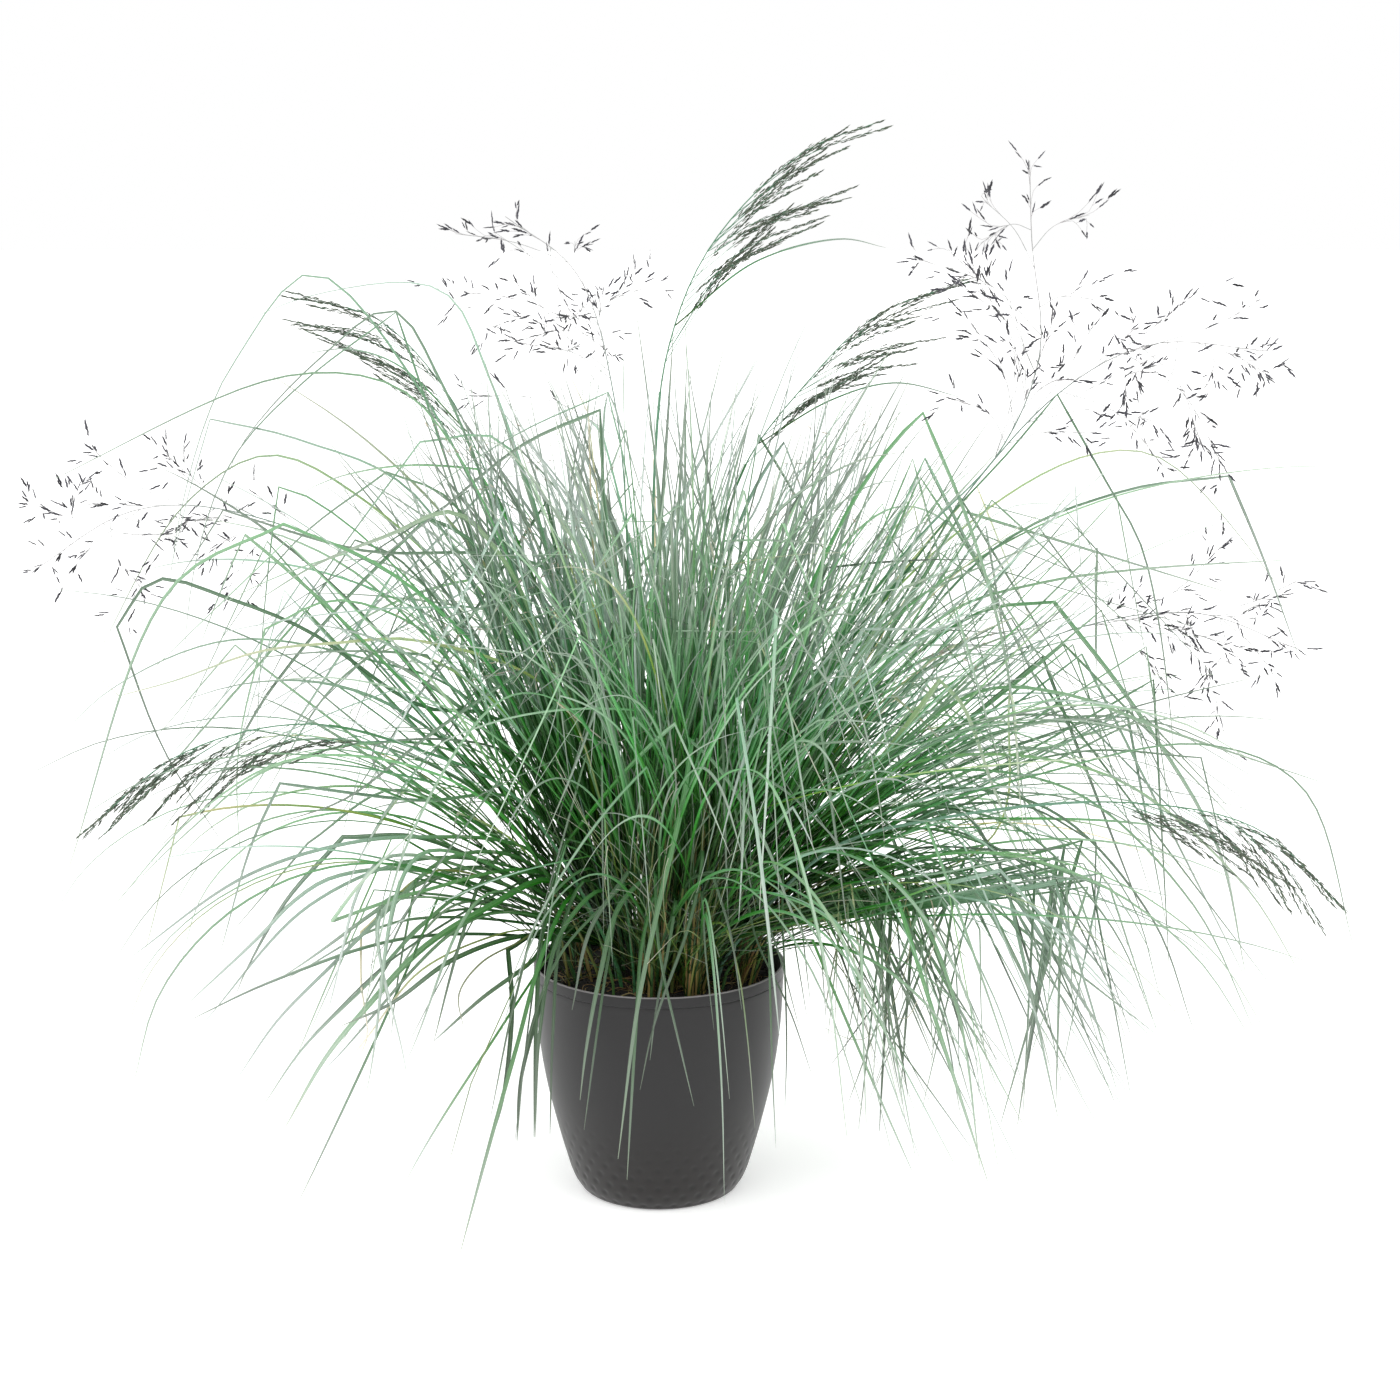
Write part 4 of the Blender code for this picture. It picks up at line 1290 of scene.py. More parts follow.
LEFT_LEAVES = (
    SeenLeaf(((560, 579), (355, 549), (223, 510), (166, 600)), -40, 0.56, 4.8, 2),
    SeenLeaf(((520, 640), (450, 500), (386, 472), (294, 543), (202, 666)), 20, 0.5, 3.4, 2),
    SeenLeaf(
        ((540, 680), (470, 540), (427, 518), (345, 600), (269, 692), (202, 804), (151, 855)), -30, 0.62, 3.2,
        2,
    ),
    SeenLeaf(((590, 640), (560, 549), (458, 625), (366, 697), (325, 738)), -60, 0.5, 3.4, 1),
    SeenLeaf(((565, 720), (529, 666), (432, 733), (345, 799), (274, 824)), -110, 0.6, 3.4, 1),
    SeenLeaf(((520, 760), (400, 740), (373, 748), (381, 779), (417, 804)), -110, 0.58, 3.0),
    SeenLeaf(((480, 560), (396, 312), (300, 385), (232, 460), (196, 560), (180, 700)), 50, 0.66, 2.6, 1),
    SeenLeaf(
        ((520, 600), (420, 390), (312, 273), (236, 359), (207, 417), (179, 519), (166, 614)), 60, 0.75, 2.8,
    ),
    SeenLeaf(((510, 560), (440, 380), (392, 310), (319, 359), (239, 449), (220, 503)), 30, 0.62, 3.2),
    SeenLeaf(((540, 640), (500, 555), (453, 512), (389, 535), (319, 563), (255, 602)), -90, 0.24, 4.4),
    SeenLeaf(
        ((560, 700), (420, 641), (336, 643), (257, 652), (177, 680), (119, 696), (89, 668)), -80, 0.12, 3.6,
        5,
    ),
    SeenLeaf(
        ((500, 720), (420, 706), (310, 632), (233, 600), (154, 580), (117, 627), (163, 748), (229, 853)), -60,
        0.6, 3.8, 5,
    ),
    SeenLeaf(((460, 660), (340, 600), (265, 629), (238, 755), (243, 900)), -60, 0.4, 2.6, 2),
    SeenLeaf(((520, 800), (420, 800), (280, 783), (252, 843), (219, 957)), -150, 0.72, 5.0, 2),
    SeenLeaf(((530, 850), (420, 837), (339, 845), (242, 878), (127, 960)), -160, 0.86, 3.8),
    SeenLeaf(((534, 937), (401, 939), (268, 983), (188, 1021)), -190, 0.62, 4.4),
    SeenLeaf(((517, 857), (446, 859), (388, 910), (334, 963), (277, 1021), (237, 1079)), -180, 0.9, 3.8),
    SeenLeaf(((548, 874), (472, 888), (419, 928), (370, 981), (303, 1048), (263, 1106)), -190, 0.7, 4.4),
    SeenLeaf(((550, 880), (490, 906), (423, 948), (366, 1008), (326, 1057), (286, 1126)), -205, 0.36, 5.4),
    SeenLeaf(((545, 875), (508, 888), (392, 959), (308, 1039)), -190, 0.6, 3.8),
    SeenLeaf(((534, 935), (454, 959), (392, 1003), (341, 1026)), -200, 0.62, 4.2),
    SeenLeaf(((530, 930), (490, 937), (419, 972), (366, 1039), (343, 1070), (337, 1097)), -200, 0.03, 2.4, 3),
    SeenLeaf(((440, 870), (361, 932), (361, 981), (366, 1043), (348, 1066)), -180, 0.03, 2.4, 1),
    SeenLeaf(((510, 850), (477, 888), (454, 963), (434, 1041)), -170, 0.5, 3.2, 1),
    SeenLeaf(((548, 940), (534, 959), (481, 999), (434, 1041)), -185, 0.84, 3.8),
    SeenLeaf(((545, 930), (517, 943), (481, 963), (459, 994), (464, 1030)), -180, 0.0, 2.2),
    SeenLeaf(((430, 840), (343, 837), (286, 901), (243, 977), (237, 992)), -150, 0.64, 4.4, 1),
    SeenLeaf(((430, 872), (334, 877), (294, 901), (259, 937), (183, 1008)), -170, 0.84, 4.0),
    SeenLeaf(((540, 872), (419, 892), (332, 921), (361, 883), (414, 830)), -180, 0.3, 4.2, 2),
    SeenLeaf(((470, 820), (390, 790), (308, 843), (228, 937)), -130, 0.56, 2.8, 2),
    SeenLeaf(((560, 900), (543, 930), (537, 1000), (534, 1137)), -180, 0.42, 3.8),
    SeenLeaf(((545, 930), (508, 950), (512, 1008), (503, 1097), (488, 1150)), -190, 0.6, 4.2, 1),
    SeenLeaf(((560, 930), (548, 977), (521, 1079), (517, 1141)), -180, 0.66, 4.2),
    SeenLeaf(((545, 880), (430, 858), (310, 905), (201, 1026)), -160, 0.86, 3.2),
    SeenLeaf(((470, 760), (380, 742), (261, 773), (190, 830), (117, 900)), -70, 0.38, 3.4),
    SeenLeaf(((470, 700), (370, 660), (230, 640), (110, 690), (40, 760)), 40, 0.7, 2.6),
    SeenLeaf(((550, 560), (500, 440), (420, 442), (340, 550), (261, 661), (205, 722)), 40, 0.7, 2.8, 2),
    SeenLeaf(((500, 700), (400, 560), (355, 540), (290, 640), (246, 730)), 10, 0.56, 2.8, 2),
    SeenLeaf(((480, 760), (392, 640), (330, 690), (262, 800)), -50, 0.44, 3.0, 1),
    SeenLeaf(((420, 500), (300, 440), (210, 419), (187, 500), (163, 605)), 60, 0.8, 2.4, 2),
)

RIGHT_LEAVES = (
    SeenLeaf(
        ((790, 640), (854, 500), (897, 439), (923, 413), (970, 527), (1003, 644), (1021, 780), (1031, 856)),
        -70, 0.4, 4.2, 3,
    ),
    SeenLeaf(((840, 640), (900, 560), (1000, 448)), -60, 0.36, 5.6),
    SeenLeaf(((800, 700), (900, 607), (1100, 518)), -50, 0.42, 4.4),
    SeenLeaf(
        ((915, 560), (1010, 450), (1057, 394), (1108, 485), (1143, 551), (1171, 719), (1173, 780)), 60, 0.62,
        3.2, 2,
    ),
    SeenLeaf(((820, 720), (900, 653), (1124, 455)), -20, 0.9, 3.6),
    SeenLeaf(((980, 560), (1120, 492), (1229, 476), (1262, 555), (1300, 660)), 90, 0.66, 3.8, 2),
    SeenLeaf(((840, 720), (950, 612), (1040, 583), (1142, 569), (1305, 559)), 40, 0.34, 3.2),
    SeenLeaf(((860, 780), (979, 691), (1063, 693), (1161, 728), (1333, 786)), -90, 0.3, 5.2),
    SeenLeaf(((850, 830), (950, 770), (1040, 737), (1160, 700), (1275, 673)), -60, 0.56, 3.2),
    SeenLeaf(((870, 700), (980, 612), (1054, 602), (1133, 705), (1217, 845), (1246, 976)), 60, 0.44, 4.8, 2),
    SeenLeaf(((920, 800), (1080, 752), (1201, 758), (1234, 898)), -80, 0.5, 3.6, 2),
    SeenLeaf(((880, 760), (940, 680), (963, 705), (1002, 807), (1040, 867)), -110, 0.2, 6.0, 1),
    SeenLeaf(((990, 840), (1010, 690), (1013, 700), (1022, 817), (1031, 856)), -90, 0.14, 2.8, 1),
    SeenLeaf(((850, 870), (922, 848), (1004, 850), (1119, 847)), -130, 0.62, 3.4),
    SeenLeaf(((860, 850), (960, 812), (999, 863), (1024, 945), (1055, 1047)), -140, 0.64, 4.4, 2),
    SeenLeaf(((850, 860), (920, 862), (952, 879), (979, 930), (982, 1032), (990, 1083)), -150, 0.5, 3.8, 3),
    SeenLeaf(((900, 830), (1022, 858), (1110, 890), (1157, 1032)), -140, 0.34, 4.8, 2),
    SeenLeaf(((890, 860), (1000, 856), (1065, 879), (1070, 950), (1073, 1042)), -130, 0.45, 4.0, 2),
    SeenLeaf(((900, 820), (1020, 805), (1096, 843), (1095, 917), (1098, 975)), -110, 0.62, 3.2, 2),
    SeenLeaf(((880, 870), (980, 880), (1051, 930), (1049, 981), (1046, 1047)), -150, 0.4, 3.8, 2),
    SeenLeaf(((830, 895), (889, 917), (920, 945), (928, 993), (933, 1052)), -170, 0.42, 4.8, 2),
    SeenLeaf(((850, 890), (930, 958), (956, 1001), (976, 1062), (979, 1104)), -170, 0.76, 3.8),
    SeenLeaf(((870, 880), (940, 900), (953, 950), (958, 1032), (959, 1104)), -160, 0.5, 3.2, 1),
    SeenLeaf(((800, 880), (840, 875), (856, 899), (861, 955), (856, 1044)), -150, 0.56, 3.0, 1),
    SeenLeaf(((820, 880), (865, 880), (887, 968), (889, 1032), (902, 1104)), -170, 0.66, 4.2, 1),
    SeenLeaf(((840, 870), (905, 905), (902, 981), (864, 1039), (815, 1024)), -140, 0.0, 2.2),
    SeenLeaf(((850, 870), (905, 885), (886, 960), (882, 1000), (903, 1020), (925, 985)), -160, 0.0, 2.0),
    SeenLeaf(((830, 880), (872, 900), (862, 950), (850, 1000), (838, 975)), -150, 0.02, 2.0),
    SeenLeaf(((860, 880), (925, 890), (935, 940), (925, 975), (948, 990)), -150, 0.0, 2.0),
    SeenLeaf(((810, 885), (845, 900), (834, 960), (828, 1010), (850, 1000)), -150, 0.0, 2.0),
    SeenLeaf(((790, 870), (850, 890), (885, 990), (905, 1118)), -180, 0.4, 4.2),
    SeenLeaf(((800, 860), (880, 885), (938, 1000), (961, 1117)), -180, 0.6, 3.8),
    SeenLeaf(((810, 850), (895, 880), (955, 1000), (981, 1174)), -190, 0.34, 4.6),
    SeenLeaf(((820, 855), (920, 880), (990, 990), (1027, 1099)), -180, 0.72, 3.8),
    SeenLeaf(((830, 845), (950, 870), (1020, 970), (1053, 1077)), -170, 0.5, 4.0),
    SeenLeaf(((840, 840), (970, 860), (1065, 960), (1109, 1075)), -160, 0.4, 4.2),
    SeenLeaf(((850, 825), (990, 845), (1090, 935), (1136, 1050)), -160, 0.62, 3.8),
    SeenLeaf(((860, 815), (1010, 825), (1110, 925), (1158, 1032)), -150, 0.4, 4.2),
    SeenLeaf(((870, 800), (1040, 805), (1150, 915), (1195, 1034)), -140, 0.56, 3.6),
    SeenLeaf(((880, 785), (1060, 785), (1190, 900), (1260, 1043)), -130, 0.36, 4.0),
    SeenLeaf(((890, 770), (1100, 772), (1240, 880), (1308, 987)), -120, 0.24, 4.2),
    SeenLeaf(((800, 900), (850, 925), (905, 990), (932, 1051)), -170, 0.8, 3.6),
    SeenLeaf(((790, 905), (830, 935), (860, 1010), (880, 1070)), -150, 0.6, 3.0),
)

CENTRE_LEAVES = (
    SeenLeaf(((590, 760), (570, 712), (555, 700), (610, 745), (660, 725)), -120, 0.08, 3.4, 3, -100),
    SeenLeaf(((712, 640), (716, 570), (708, 535), (740, 578)), -60, 0.1, 3.0, 2, -50),
    SeenLeaf(((680, 720), (624, 600), (563, 435)), -70, 0.3, 5.0),
    SeenLeaf(((590, 690), (541, 580), (483, 499)), -90, 0.34, 6.0),
    SeenLeaf(((612, 620), (604, 500), (600, 410), (524, 444), (430, 519), (340, 590)), -30, 0.6, 4.4, 2),
    SeenLeaf(((640, 640), (628, 480), (608, 392), (520, 432), (430, 490), (350, 560)), -20, 0.74, 3.0, 2),
    SeenLeaf(((608, 392), (622, 430), (650, 520)), 20, 0.8, 2.6),
    SeenLeaf(((700, 640), (740, 560), (790, 500), (860, 460), (905, 452)), -70, 0.5, 3.6),
    SeenLeaf(((620, 640), (560, 520), (500, 445), (455, 440)), -30, 0.24, 3.8),
    SeenLeaf(((700, 600), (760, 500), (800, 330)), 30, 0.92, 3.4),
    SeenLeaf(((690, 600), (705, 480), (714, 350)), 40, 0.8, 3.2),
    SeenLeaf(((640, 600), (596, 480), (570, 420)), 40, 0.9, 3.4),
    SeenLeaf(((740, 640), (830, 470), (880, 395)), 20, 0.86, 3.2),
)


@dataclass(frozen=True)
class Crowd:
    """Leaves that the photograph shows as a mass. Each passes a point of one picture box and ends in another.

    A box is left, top, right and bottom. Leaves that hang are creased at the first point.
    """

    count: int
    via_px: tuple[float, float, float, float]
    tip_px: tuple[float, float, float, float]
    depth_mm: Pair
    tone: Pair
    width_mm: Pair
    hangs: bool = False

    def leaf(self, rng: np.random.Generator) -> SeenLeaf:
        """Draws one leaf of the crowd."""
        via = tuple(rng.uniform(self.via_px[:2], self.via_px[2:]))
        tip = tuple(rng.uniform(self.tip_px[:2], self.tip_px[2:]))
        depth = rng.uniform(*self.depth_mm)
        tone, width = rng.uniform(*self.tone), rng.uniform(*self.width_mm)
        return SeenLeaf((via, tip), depth, tone, width, 0 if self.hangs else None, 0.6 * depth)


LEFT_CROWDS = (
    Crowd(38, (490, 580, 580, 700), (370, 340, 530, 450), (-80, 140), (0.4, 1.0), (2.0, 3.4)),
    Crowd(12, (440, 620, 540, 700), (310, 410, 440, 520), (-80, 140), (0.4, 1.0), (1.8, 3.2)),
    Crowd(10, (400, 470, 570, 600), (160, 640, 380, 880), (-80, 110), (0.4, 1.0), (2.0, 3.4), True),
    Crowd(8, (220, 540, 400, 680), (100, 700, 260, 900), (-90, 60), (0.4, 1.0), (2.0, 3.2), True),
    Crowd(11, (380, 850, 500, 920), (190, 980, 420, 1130), (-220, -60), (0.5, 1.0), (2.6, 4.2)),
)

RIGHT_CROWDS = (
    Crowd(40, (740, 580, 830, 680), (780, 350, 920, 450), (-60, 160), (0.4, 1.0), (2.2, 3.6)),
    Crowd(20, (800, 600, 880, 720), (890, 400, 1020, 520), (-80, 140), (0.4, 1.0), (1.8, 3.2)),
    Crowd(9, (880, 440, 1060, 560), (980, 640, 1200, 860), (-70, 110), (0.4, 1.0), (2.0, 3.4), True),
    Crowd(14, (1030, 600, 1160, 720), (1150, 800, 1310, 1000), (-90, 60), (0.3, 0.9), (2.4, 4.0), True),
    Crowd(10, (960, 480, 1120, 600), (1080, 560, 1260, 720), (-60, 120), (0.3, 0.9), (2.0, 3.4), True),
    Crowd(28, (840, 850, 1000, 900), (830, 1000, 1010, 1140), (-210, 60), (0.3, 0.8), (2.6, 4.4), True),
    Crowd(26, (960, 840, 1110, 900), (1000, 1000, 1170, 1130), (-200, 60), (0.35, 0.9), (2.8, 4.6), True),
    Crowd(12, (790, 880, 860, 920), (800, 1000, 900, 1100), (-180, -120), (0.0, 0.6), (1.6, 3.0), True),
)

CENTRE_CROWDS = (
    Crowd(24, (550, 560, 640, 680), (480, 360, 610, 440), (-60, 160), (0.4, 1.0), (2.2, 3.6)),
    Crowd(26, (640, 560, 740, 680), (650, 330, 810, 420), (-60, 160), (0.4, 1.0), (2.2, 3.6)),
)


@dataclass
class SeenLeaves:
    """Leaves that the photograph shows singly or as crowds, from the soil through their picture points."""

    name: str
    leaves: tuple[SeenLeaf, ...]
    crowds: tuple[Crowd, ...]
    viewpoint: Viewpoint
    seed: int
    crown_mm: float = 40.0
    foot_share: float = 0.2

    def build(self, palette: Palette) -> None:
        """Builds the piece."""
        rng = np.random.default_rng(self.seed)
        strands = Strands()
        for leaf in self.leaves:
            self.add_leaf(strands, leaf, self.line_of(leaf), rng)
        for crowd in self.crowds:
            for _ in range(crowd.count):
                leaf = crowd.leaf(rng)
                line = self.line_of(leaf)
                if is_free(line, 0.8):
                    self.add_leaf(strands, leaf, line, rng)
        settle(strands.swept(self.name, palette))

    def add_leaf(self, strands: Strands, leaf: SeenLeaf, line: Line, rng: np.random.Generator) -> None:
        """Adds a leaf.

        Args:
            strands: The piece's strands.
            leaf: The leaf.
            line: Its points.
            rng: The piece's random numbers.
        """
        width = blade_widths(len(line), leaf.width_mm * MM, self.foot_share)
        strands.add(line, width, Section.BLADE, leaf.tone, rng.uniform(0, 0.7), rng.normal(-0.7, 0.3))

    def line_of(self, leaf: SeenLeaf) -> Line:
        """Draws a leaf's line from the soil through its picture points.

        Args:
            leaf: The leaf.

        Returns:
            Points in metres.
        """
        route = np.array(leaf.route_px, float)
        walked = walked_along(route)
        start = leaf.apex_depth_mm if leaf.apex_depth_mm is not None else 0.35 * leaf.tip_depth_mm
        depths = start + (leaf.tip_depth_mm - start) * (walked / walked[-1])
        places = [self.viewpoint.place(px, py, depth) for (px, py), depth in zip(route, depths)]
        away = unit(places[0][:2])
        foot = np.array([*(away * self.crown_mm * MM), 191.8 * MM])
        knots = np.vstack([foot, foot + [away[0] * 3 * MM, away[1] * 3 * MM, 26 * MM], *places])
        return smooth(knots, 44, None if leaf.fold is None else leaf.fold + 2)


# Flower stems


def spikelet_mesh(florets: int, length_mm: float, width_mm: float) -> Thing:
    """Makes a spikelet that points along +Z: pointed husks set left and right in turn.

    Args:
        florets: How many husks it has.
        length_mm: Its length.
        width_mm: Its width.

    Returns:
        The template object, which is removed once it has been placed.
    """
    points: list[Triple] = []
    faces: list[tuple[int, ...]] = []
    step = 0.3
    husk = length_mm / (step * florets + 1 - step)
    for index in range(florets):
        side = 1 if index % 2 else -1
        base = step * husk * index
        slim = 1 - 0.45 * index / florets
        first = len(points)
        points.append((0.0, 0.0, base))
        for turn in range(4):
            angle = math.pi / 2 * turn
            across = side * 0.12 * width_mm + 0.38 * width_mm * slim * math.cos(angle)
            points.append((across, 0.3 * width_mm * slim * math.sin(angle), base + 0.38 * husk))
        points.append((side * 0.2 * width_mm * slim, 0.0, base + husk))
        for turn in range(4):
            here, after = first + 1 + turn, first + 1 + (turn + 1) % 4
            faces += [(first, after, here), (here, after, first + 5)]
    return mesh_object("one_spikelet", np.array(points) * MM, (), faces)


@dataclass
class Spikelets:
    """Places, aims and sizes of a head's spikelets, which Geometry Nodes set as copies of one small mesh."""

    places: list[Line] = field(default_factory=list)
    aims: list[Line] = field(default_factory=list)
    sizes: list[float] = field(default_factory=list)
    tones: list[float] = field(default_factory=list)

    def add(self, place: Line, aim: Line, size: float, tone: float) -> None:
        """Adds a spikelet.

        Args:
            place: Where its foot is.
            aim: Where it points.
            size: Its size as a share of the template's.
            tone: How light it is, from 0 to 1.
        """
        self.places.append(place)
        self.aims.append(unit(aim))
        self.sizes.append(size)
        self.tones.append(tone)

    def placed(self, name: str, template: Thing, finish: bpy.types.Material) -> Thing:
        """Sets every spikelet and removes the template.

        Args:
            name: The piece's name.
            template: One spikelet along +Z.
            finish: The husks' material.

        Returns:
            The plain mesh object.
        """
        thing = mesh_object(name, np.array(self.places))
        store(thing.data, "aim", np.array(self.aims), "FLOAT_VECTOR")
        store(thing.data, "size", self.sizes)
        store(thing.data, "tone", self.tones)
        run_tree(thing, scatter_tree(), {"Copy": template, "Finish": finish, "Seed": len(self.places)})
        remove(template)
        return thing


def scatter_tree() -> Tree:
    """Gives the tree that sets a copy of one object on each point. It is built once.

    Returns:
        A tree that takes the object to copy, its finish, and the seed of each copy's turn about its own axis.
    """
    name = "set_copies"
    if name in bpy.data.node_groups:
        return bpy.data.node_groups[name]
    tree, given = new_tree(name, {"Copy": "Object", "Finish": "Material", "Seed": "Int"})
    aim, size = (
        add_node(tree, "GeometryNodeInputNamedAttribute", {"data_type": kind}, {"Name": label}).outputs[0]
        for label, kind in (("aim", "FLOAT_VECTOR"), ("size", "FLOAT"))
    )
    inputs = {2: 0.0, 3: 2 * math.pi, 8: given["Seed"]}
    spin = add_node(tree, "FunctionNodeRandomValue", {"data_type": "FLOAT"}, inputs)
    inputs = {"Axis": (0, 0, 1), "Angle": spin.outputs[1]}
    roll = add_node(tree, "FunctionNodeAxisAngleToRotation", None, inputs)
    turn = add_node(tree, "FunctionNodeAlignRotationToVector", {"axis": "Z"}, {"Vector": aim})
    inputs = {"Rotation": turn.outputs[0], "Rotate By": roll.outputs[0]}
    both = add_node(tree, "FunctionNodeRotateRotation", {"rotation_space": "LOCAL"}, inputs)
    one = add_node(tree, "GeometryNodeObjectInfo", None, {"Object": given["Copy"], "As Instance": False})
    points = add_node(tree, "GeometryNodeMeshToPoints", None, {"Mesh": given["Geometry"]})
    inputs = {"Points": points.outputs[0], "Instance": one.outputs["Geometry"], "Rotation": both.outputs[0]}
    copies = add_node(tree, "GeometryNodeInstanceOnPoints", None, inputs | {"Scale": size})
    end_tree(tree, copies.outputs[0], {"Material": given["Finish"]})
    return tree


class HeadKind(Enum):
    """The two kinds of flower head."""

    DENSE = "dense"
    OPEN = "open"


@dataclass
class FlowerStem:
    """A culm with its sheath, its branches as the solid has them, and finer branchlets with spikelets."""

    kind: HeadKind
    number: int
    route_mm: tuple[Triple, ...]
    branches: tuple[tuple[float, Triple], ...]
    flag_leaf: tuple[float, tuple[Triple, ...]] | None = None
    culm_mm: Pair = (2.6, 0.7)
    groups: int = 110
    group_gap_mm: float = 11.0
    strands: Strands = field(default_factory=Strands)
    spikelets: Spikelets = field(default_factory=Spikelets)
    rng: np.random.Generator = field(init=False)

    def __post_init__(self) -> None:
        """Starts the stem's own random numbers."""
        self.rng = np.random.default_rng(900 + self.number + (50 if self.kind is HeadKind.OPEN else 0))

    def build(self, palette: Palette) -> None:
        """Builds the stem's piece and its spikelets' piece."""
        is_dense = self.kind is HeadKind.DENSE
        node = f"flower_stem_{self.kind.value}_{self.number}"
        culm = smooth(from_foot(node, self.route_mm), 101)
        self.add_culm(culm, 0.66 if is_dense else 0.95, 64 if is_dense else 52)
        if is_dense:
            self.add_dense_head(culm)
        else:
            self.add_open_head(culm)
        template = spikelet_mesh(3, 6.2, 1.35) if is_dense else spikelet_mesh(4, 11.5, 2.5)
        settle(self.strands.swept(f"{node}_culm", palette, 5), (node,))
        finish = palette.dense if is_dense else palette.open
        settle(self.spikelets.placed(f"{node}_spikelets", template, finish))

    def add_culm(self, culm: Line, tip_tone: float, sheath_end: int) -> None:
        """Adds the culm, the sheath on its lower part and, where there is one, the flag leaf.

        Args:
            culm: The culm's points.
            tip_tone: Its tone at its tip.
            sheath_end: The number of the point that the sheath reaches.
        """
        rng, strands = self.rng, self.strands
        widths = np.linspace(self.culm_mm[0], self.culm_mm[1], len(culm)) * MM
        tone = np.interp(np.linspace(0, 1, len(culm)), (0.5, 0.85), (0.6, tip_tone))
        strands.add(culm[::2], widths[::2], Section.STALK, tone[::2], 0.6)
        girth = np.linspace(3.3, 2.3, sheath_end // 3 + 1) * MM
        sheath = culm[: sheath_end + 1 : 3][: len(girth)]
        strands.add(sheath, girth, Section.STALK, rng.uniform(0.5, 0.72), 0.7)
        lean, heading = angles_of(culm[::4])
        for leave in (18, 30, 42):
            own_heading = heading[leave // 4 :] + rng.normal(0, 0.3)
            shoot = Shoot(rng, lean[leave // 4 :], own_heading, 0.62 * length_of(culm))
            line = shoot.blade_line(culm[leave])
            if is_free(line, 0.68):
                shoot.add_blade(strands, line, 0.9)
        if self.flag_leaf is not None:
            share, route = self.flag_leaf
            line = smooth(np.vstack([culm[round(share * 100)], np.array(route) * MM]), 34)
            strands.add(line, blade_widths(len(line), 3.4 * MM, 0.8), Section.BLADE, 0.7, 0.5)

    def add_dense_head(self, culm: Line) -> None:
        """Adds a young one-sided head: long close branches with spikelets pressed to them.

        Args:
            culm: The culm's points.
        """
        rng = self.rng
        strings = [culm[80:]]
        for share, tip in self.branches:
            for twin in range(4):
                at = round(share * 100 - rng.uniform(4, 10))
                end = np.array(tip) * MM + rng.normal(0, 4 * MM, 3) * (twin > 0)
                end = culm[at] + (end - culm[at]) * (1.0 if twin == 0 else rng.uniform(0.6, 0.95))
                strings.append(bowed(culm, at, end))
        for at, near in ((74, 86), (78, 90), (82, 94), (86, 97), (90, 100)):
            strings.append(bowed(culm, at, culm[near] + rng.normal(0, 3.4, 3) * MM - [0, 0, 4 * MM]))
        for string in strings:
            self.strands.add(string, np.linspace(0.6, 0.35, len(string)) * MM, Section.STALK, 0.66, 0.6)
            fine = even(string, 200)
            for mark in np.arange(rng.uniform(0.16, 0.42), 1.0, 1.3 * MM / length_of(string)):
                at = min(198, int(mark * 199))
                along = unit(fine[at + 1] - fine[at])
                swell = math.sin(math.pi * min(1.0, (mark - 0.05) / 0.95)) ** 0.6
                side = square_to(along, rng) * rng.uniform(0.1, 1.0) * 1.9 * MM * swell
                aim = along + side / MM * 0.09 + rng.normal(0, 0.05, 3)
                self.spikelets.add(fine[at] + side, aim, rng.uniform(0.75, 1.15), rng.uniform(0, 0.8))

    def add_open_head(self, culm: Line) -> None:
        """Adds a ripe open head: spreading hair-thin branches whose branchlets end in groups of spikelets.

        Args:
            culm: The culm's points.
        """
        rng = self.rng
        main = [bowed(culm, round(share * 100), np.array(tip) * MM) for share, tip in self.branches]
        middle = np.mean([line[-1] for line in main], axis=0)
        reach = float(np.mean([np.linalg.norm(line[-1] - middle) for line in main]))
        for _ in range(9):
            at = int(rng.integers(68, 94))
            away = rng.normal(0, 1, 3)
            end = middle + away / np.linalg.norm(away) * reach * rng.uniform(0.4, 0.85)
            main.append(bowed(culm, at, end))
        main.append(culm[90:])
        for line in main:
            self.strands.add(line, np.linspace(0.65, 0.35, len(line)) * MM, Section.STALK, 0.93, 0.6)
        taken = [culm[60]]
        for _ in range(12 * self.groups):
            line = main[int(rng.integers(len(main)))]
            at = int(rng.uniform(0.3, 1.0) ** 0.8 * (len(line) - 2))
            along = unit(line[at + 1] - line[at])
            out = along + square_to(along, rng) * rng.uniform(0.25, 0.95)
            end = line[at] + out / np.linalg.norm(out) * rng.uniform(10, 38) * MM
            apart = min(np.linalg.norm(end - other) for other in taken) > self.group_gap_mm * MM
            if apart and len(taken) <= self.groups:
                taken.append(end)
                self.add_group(line[at], along, end)

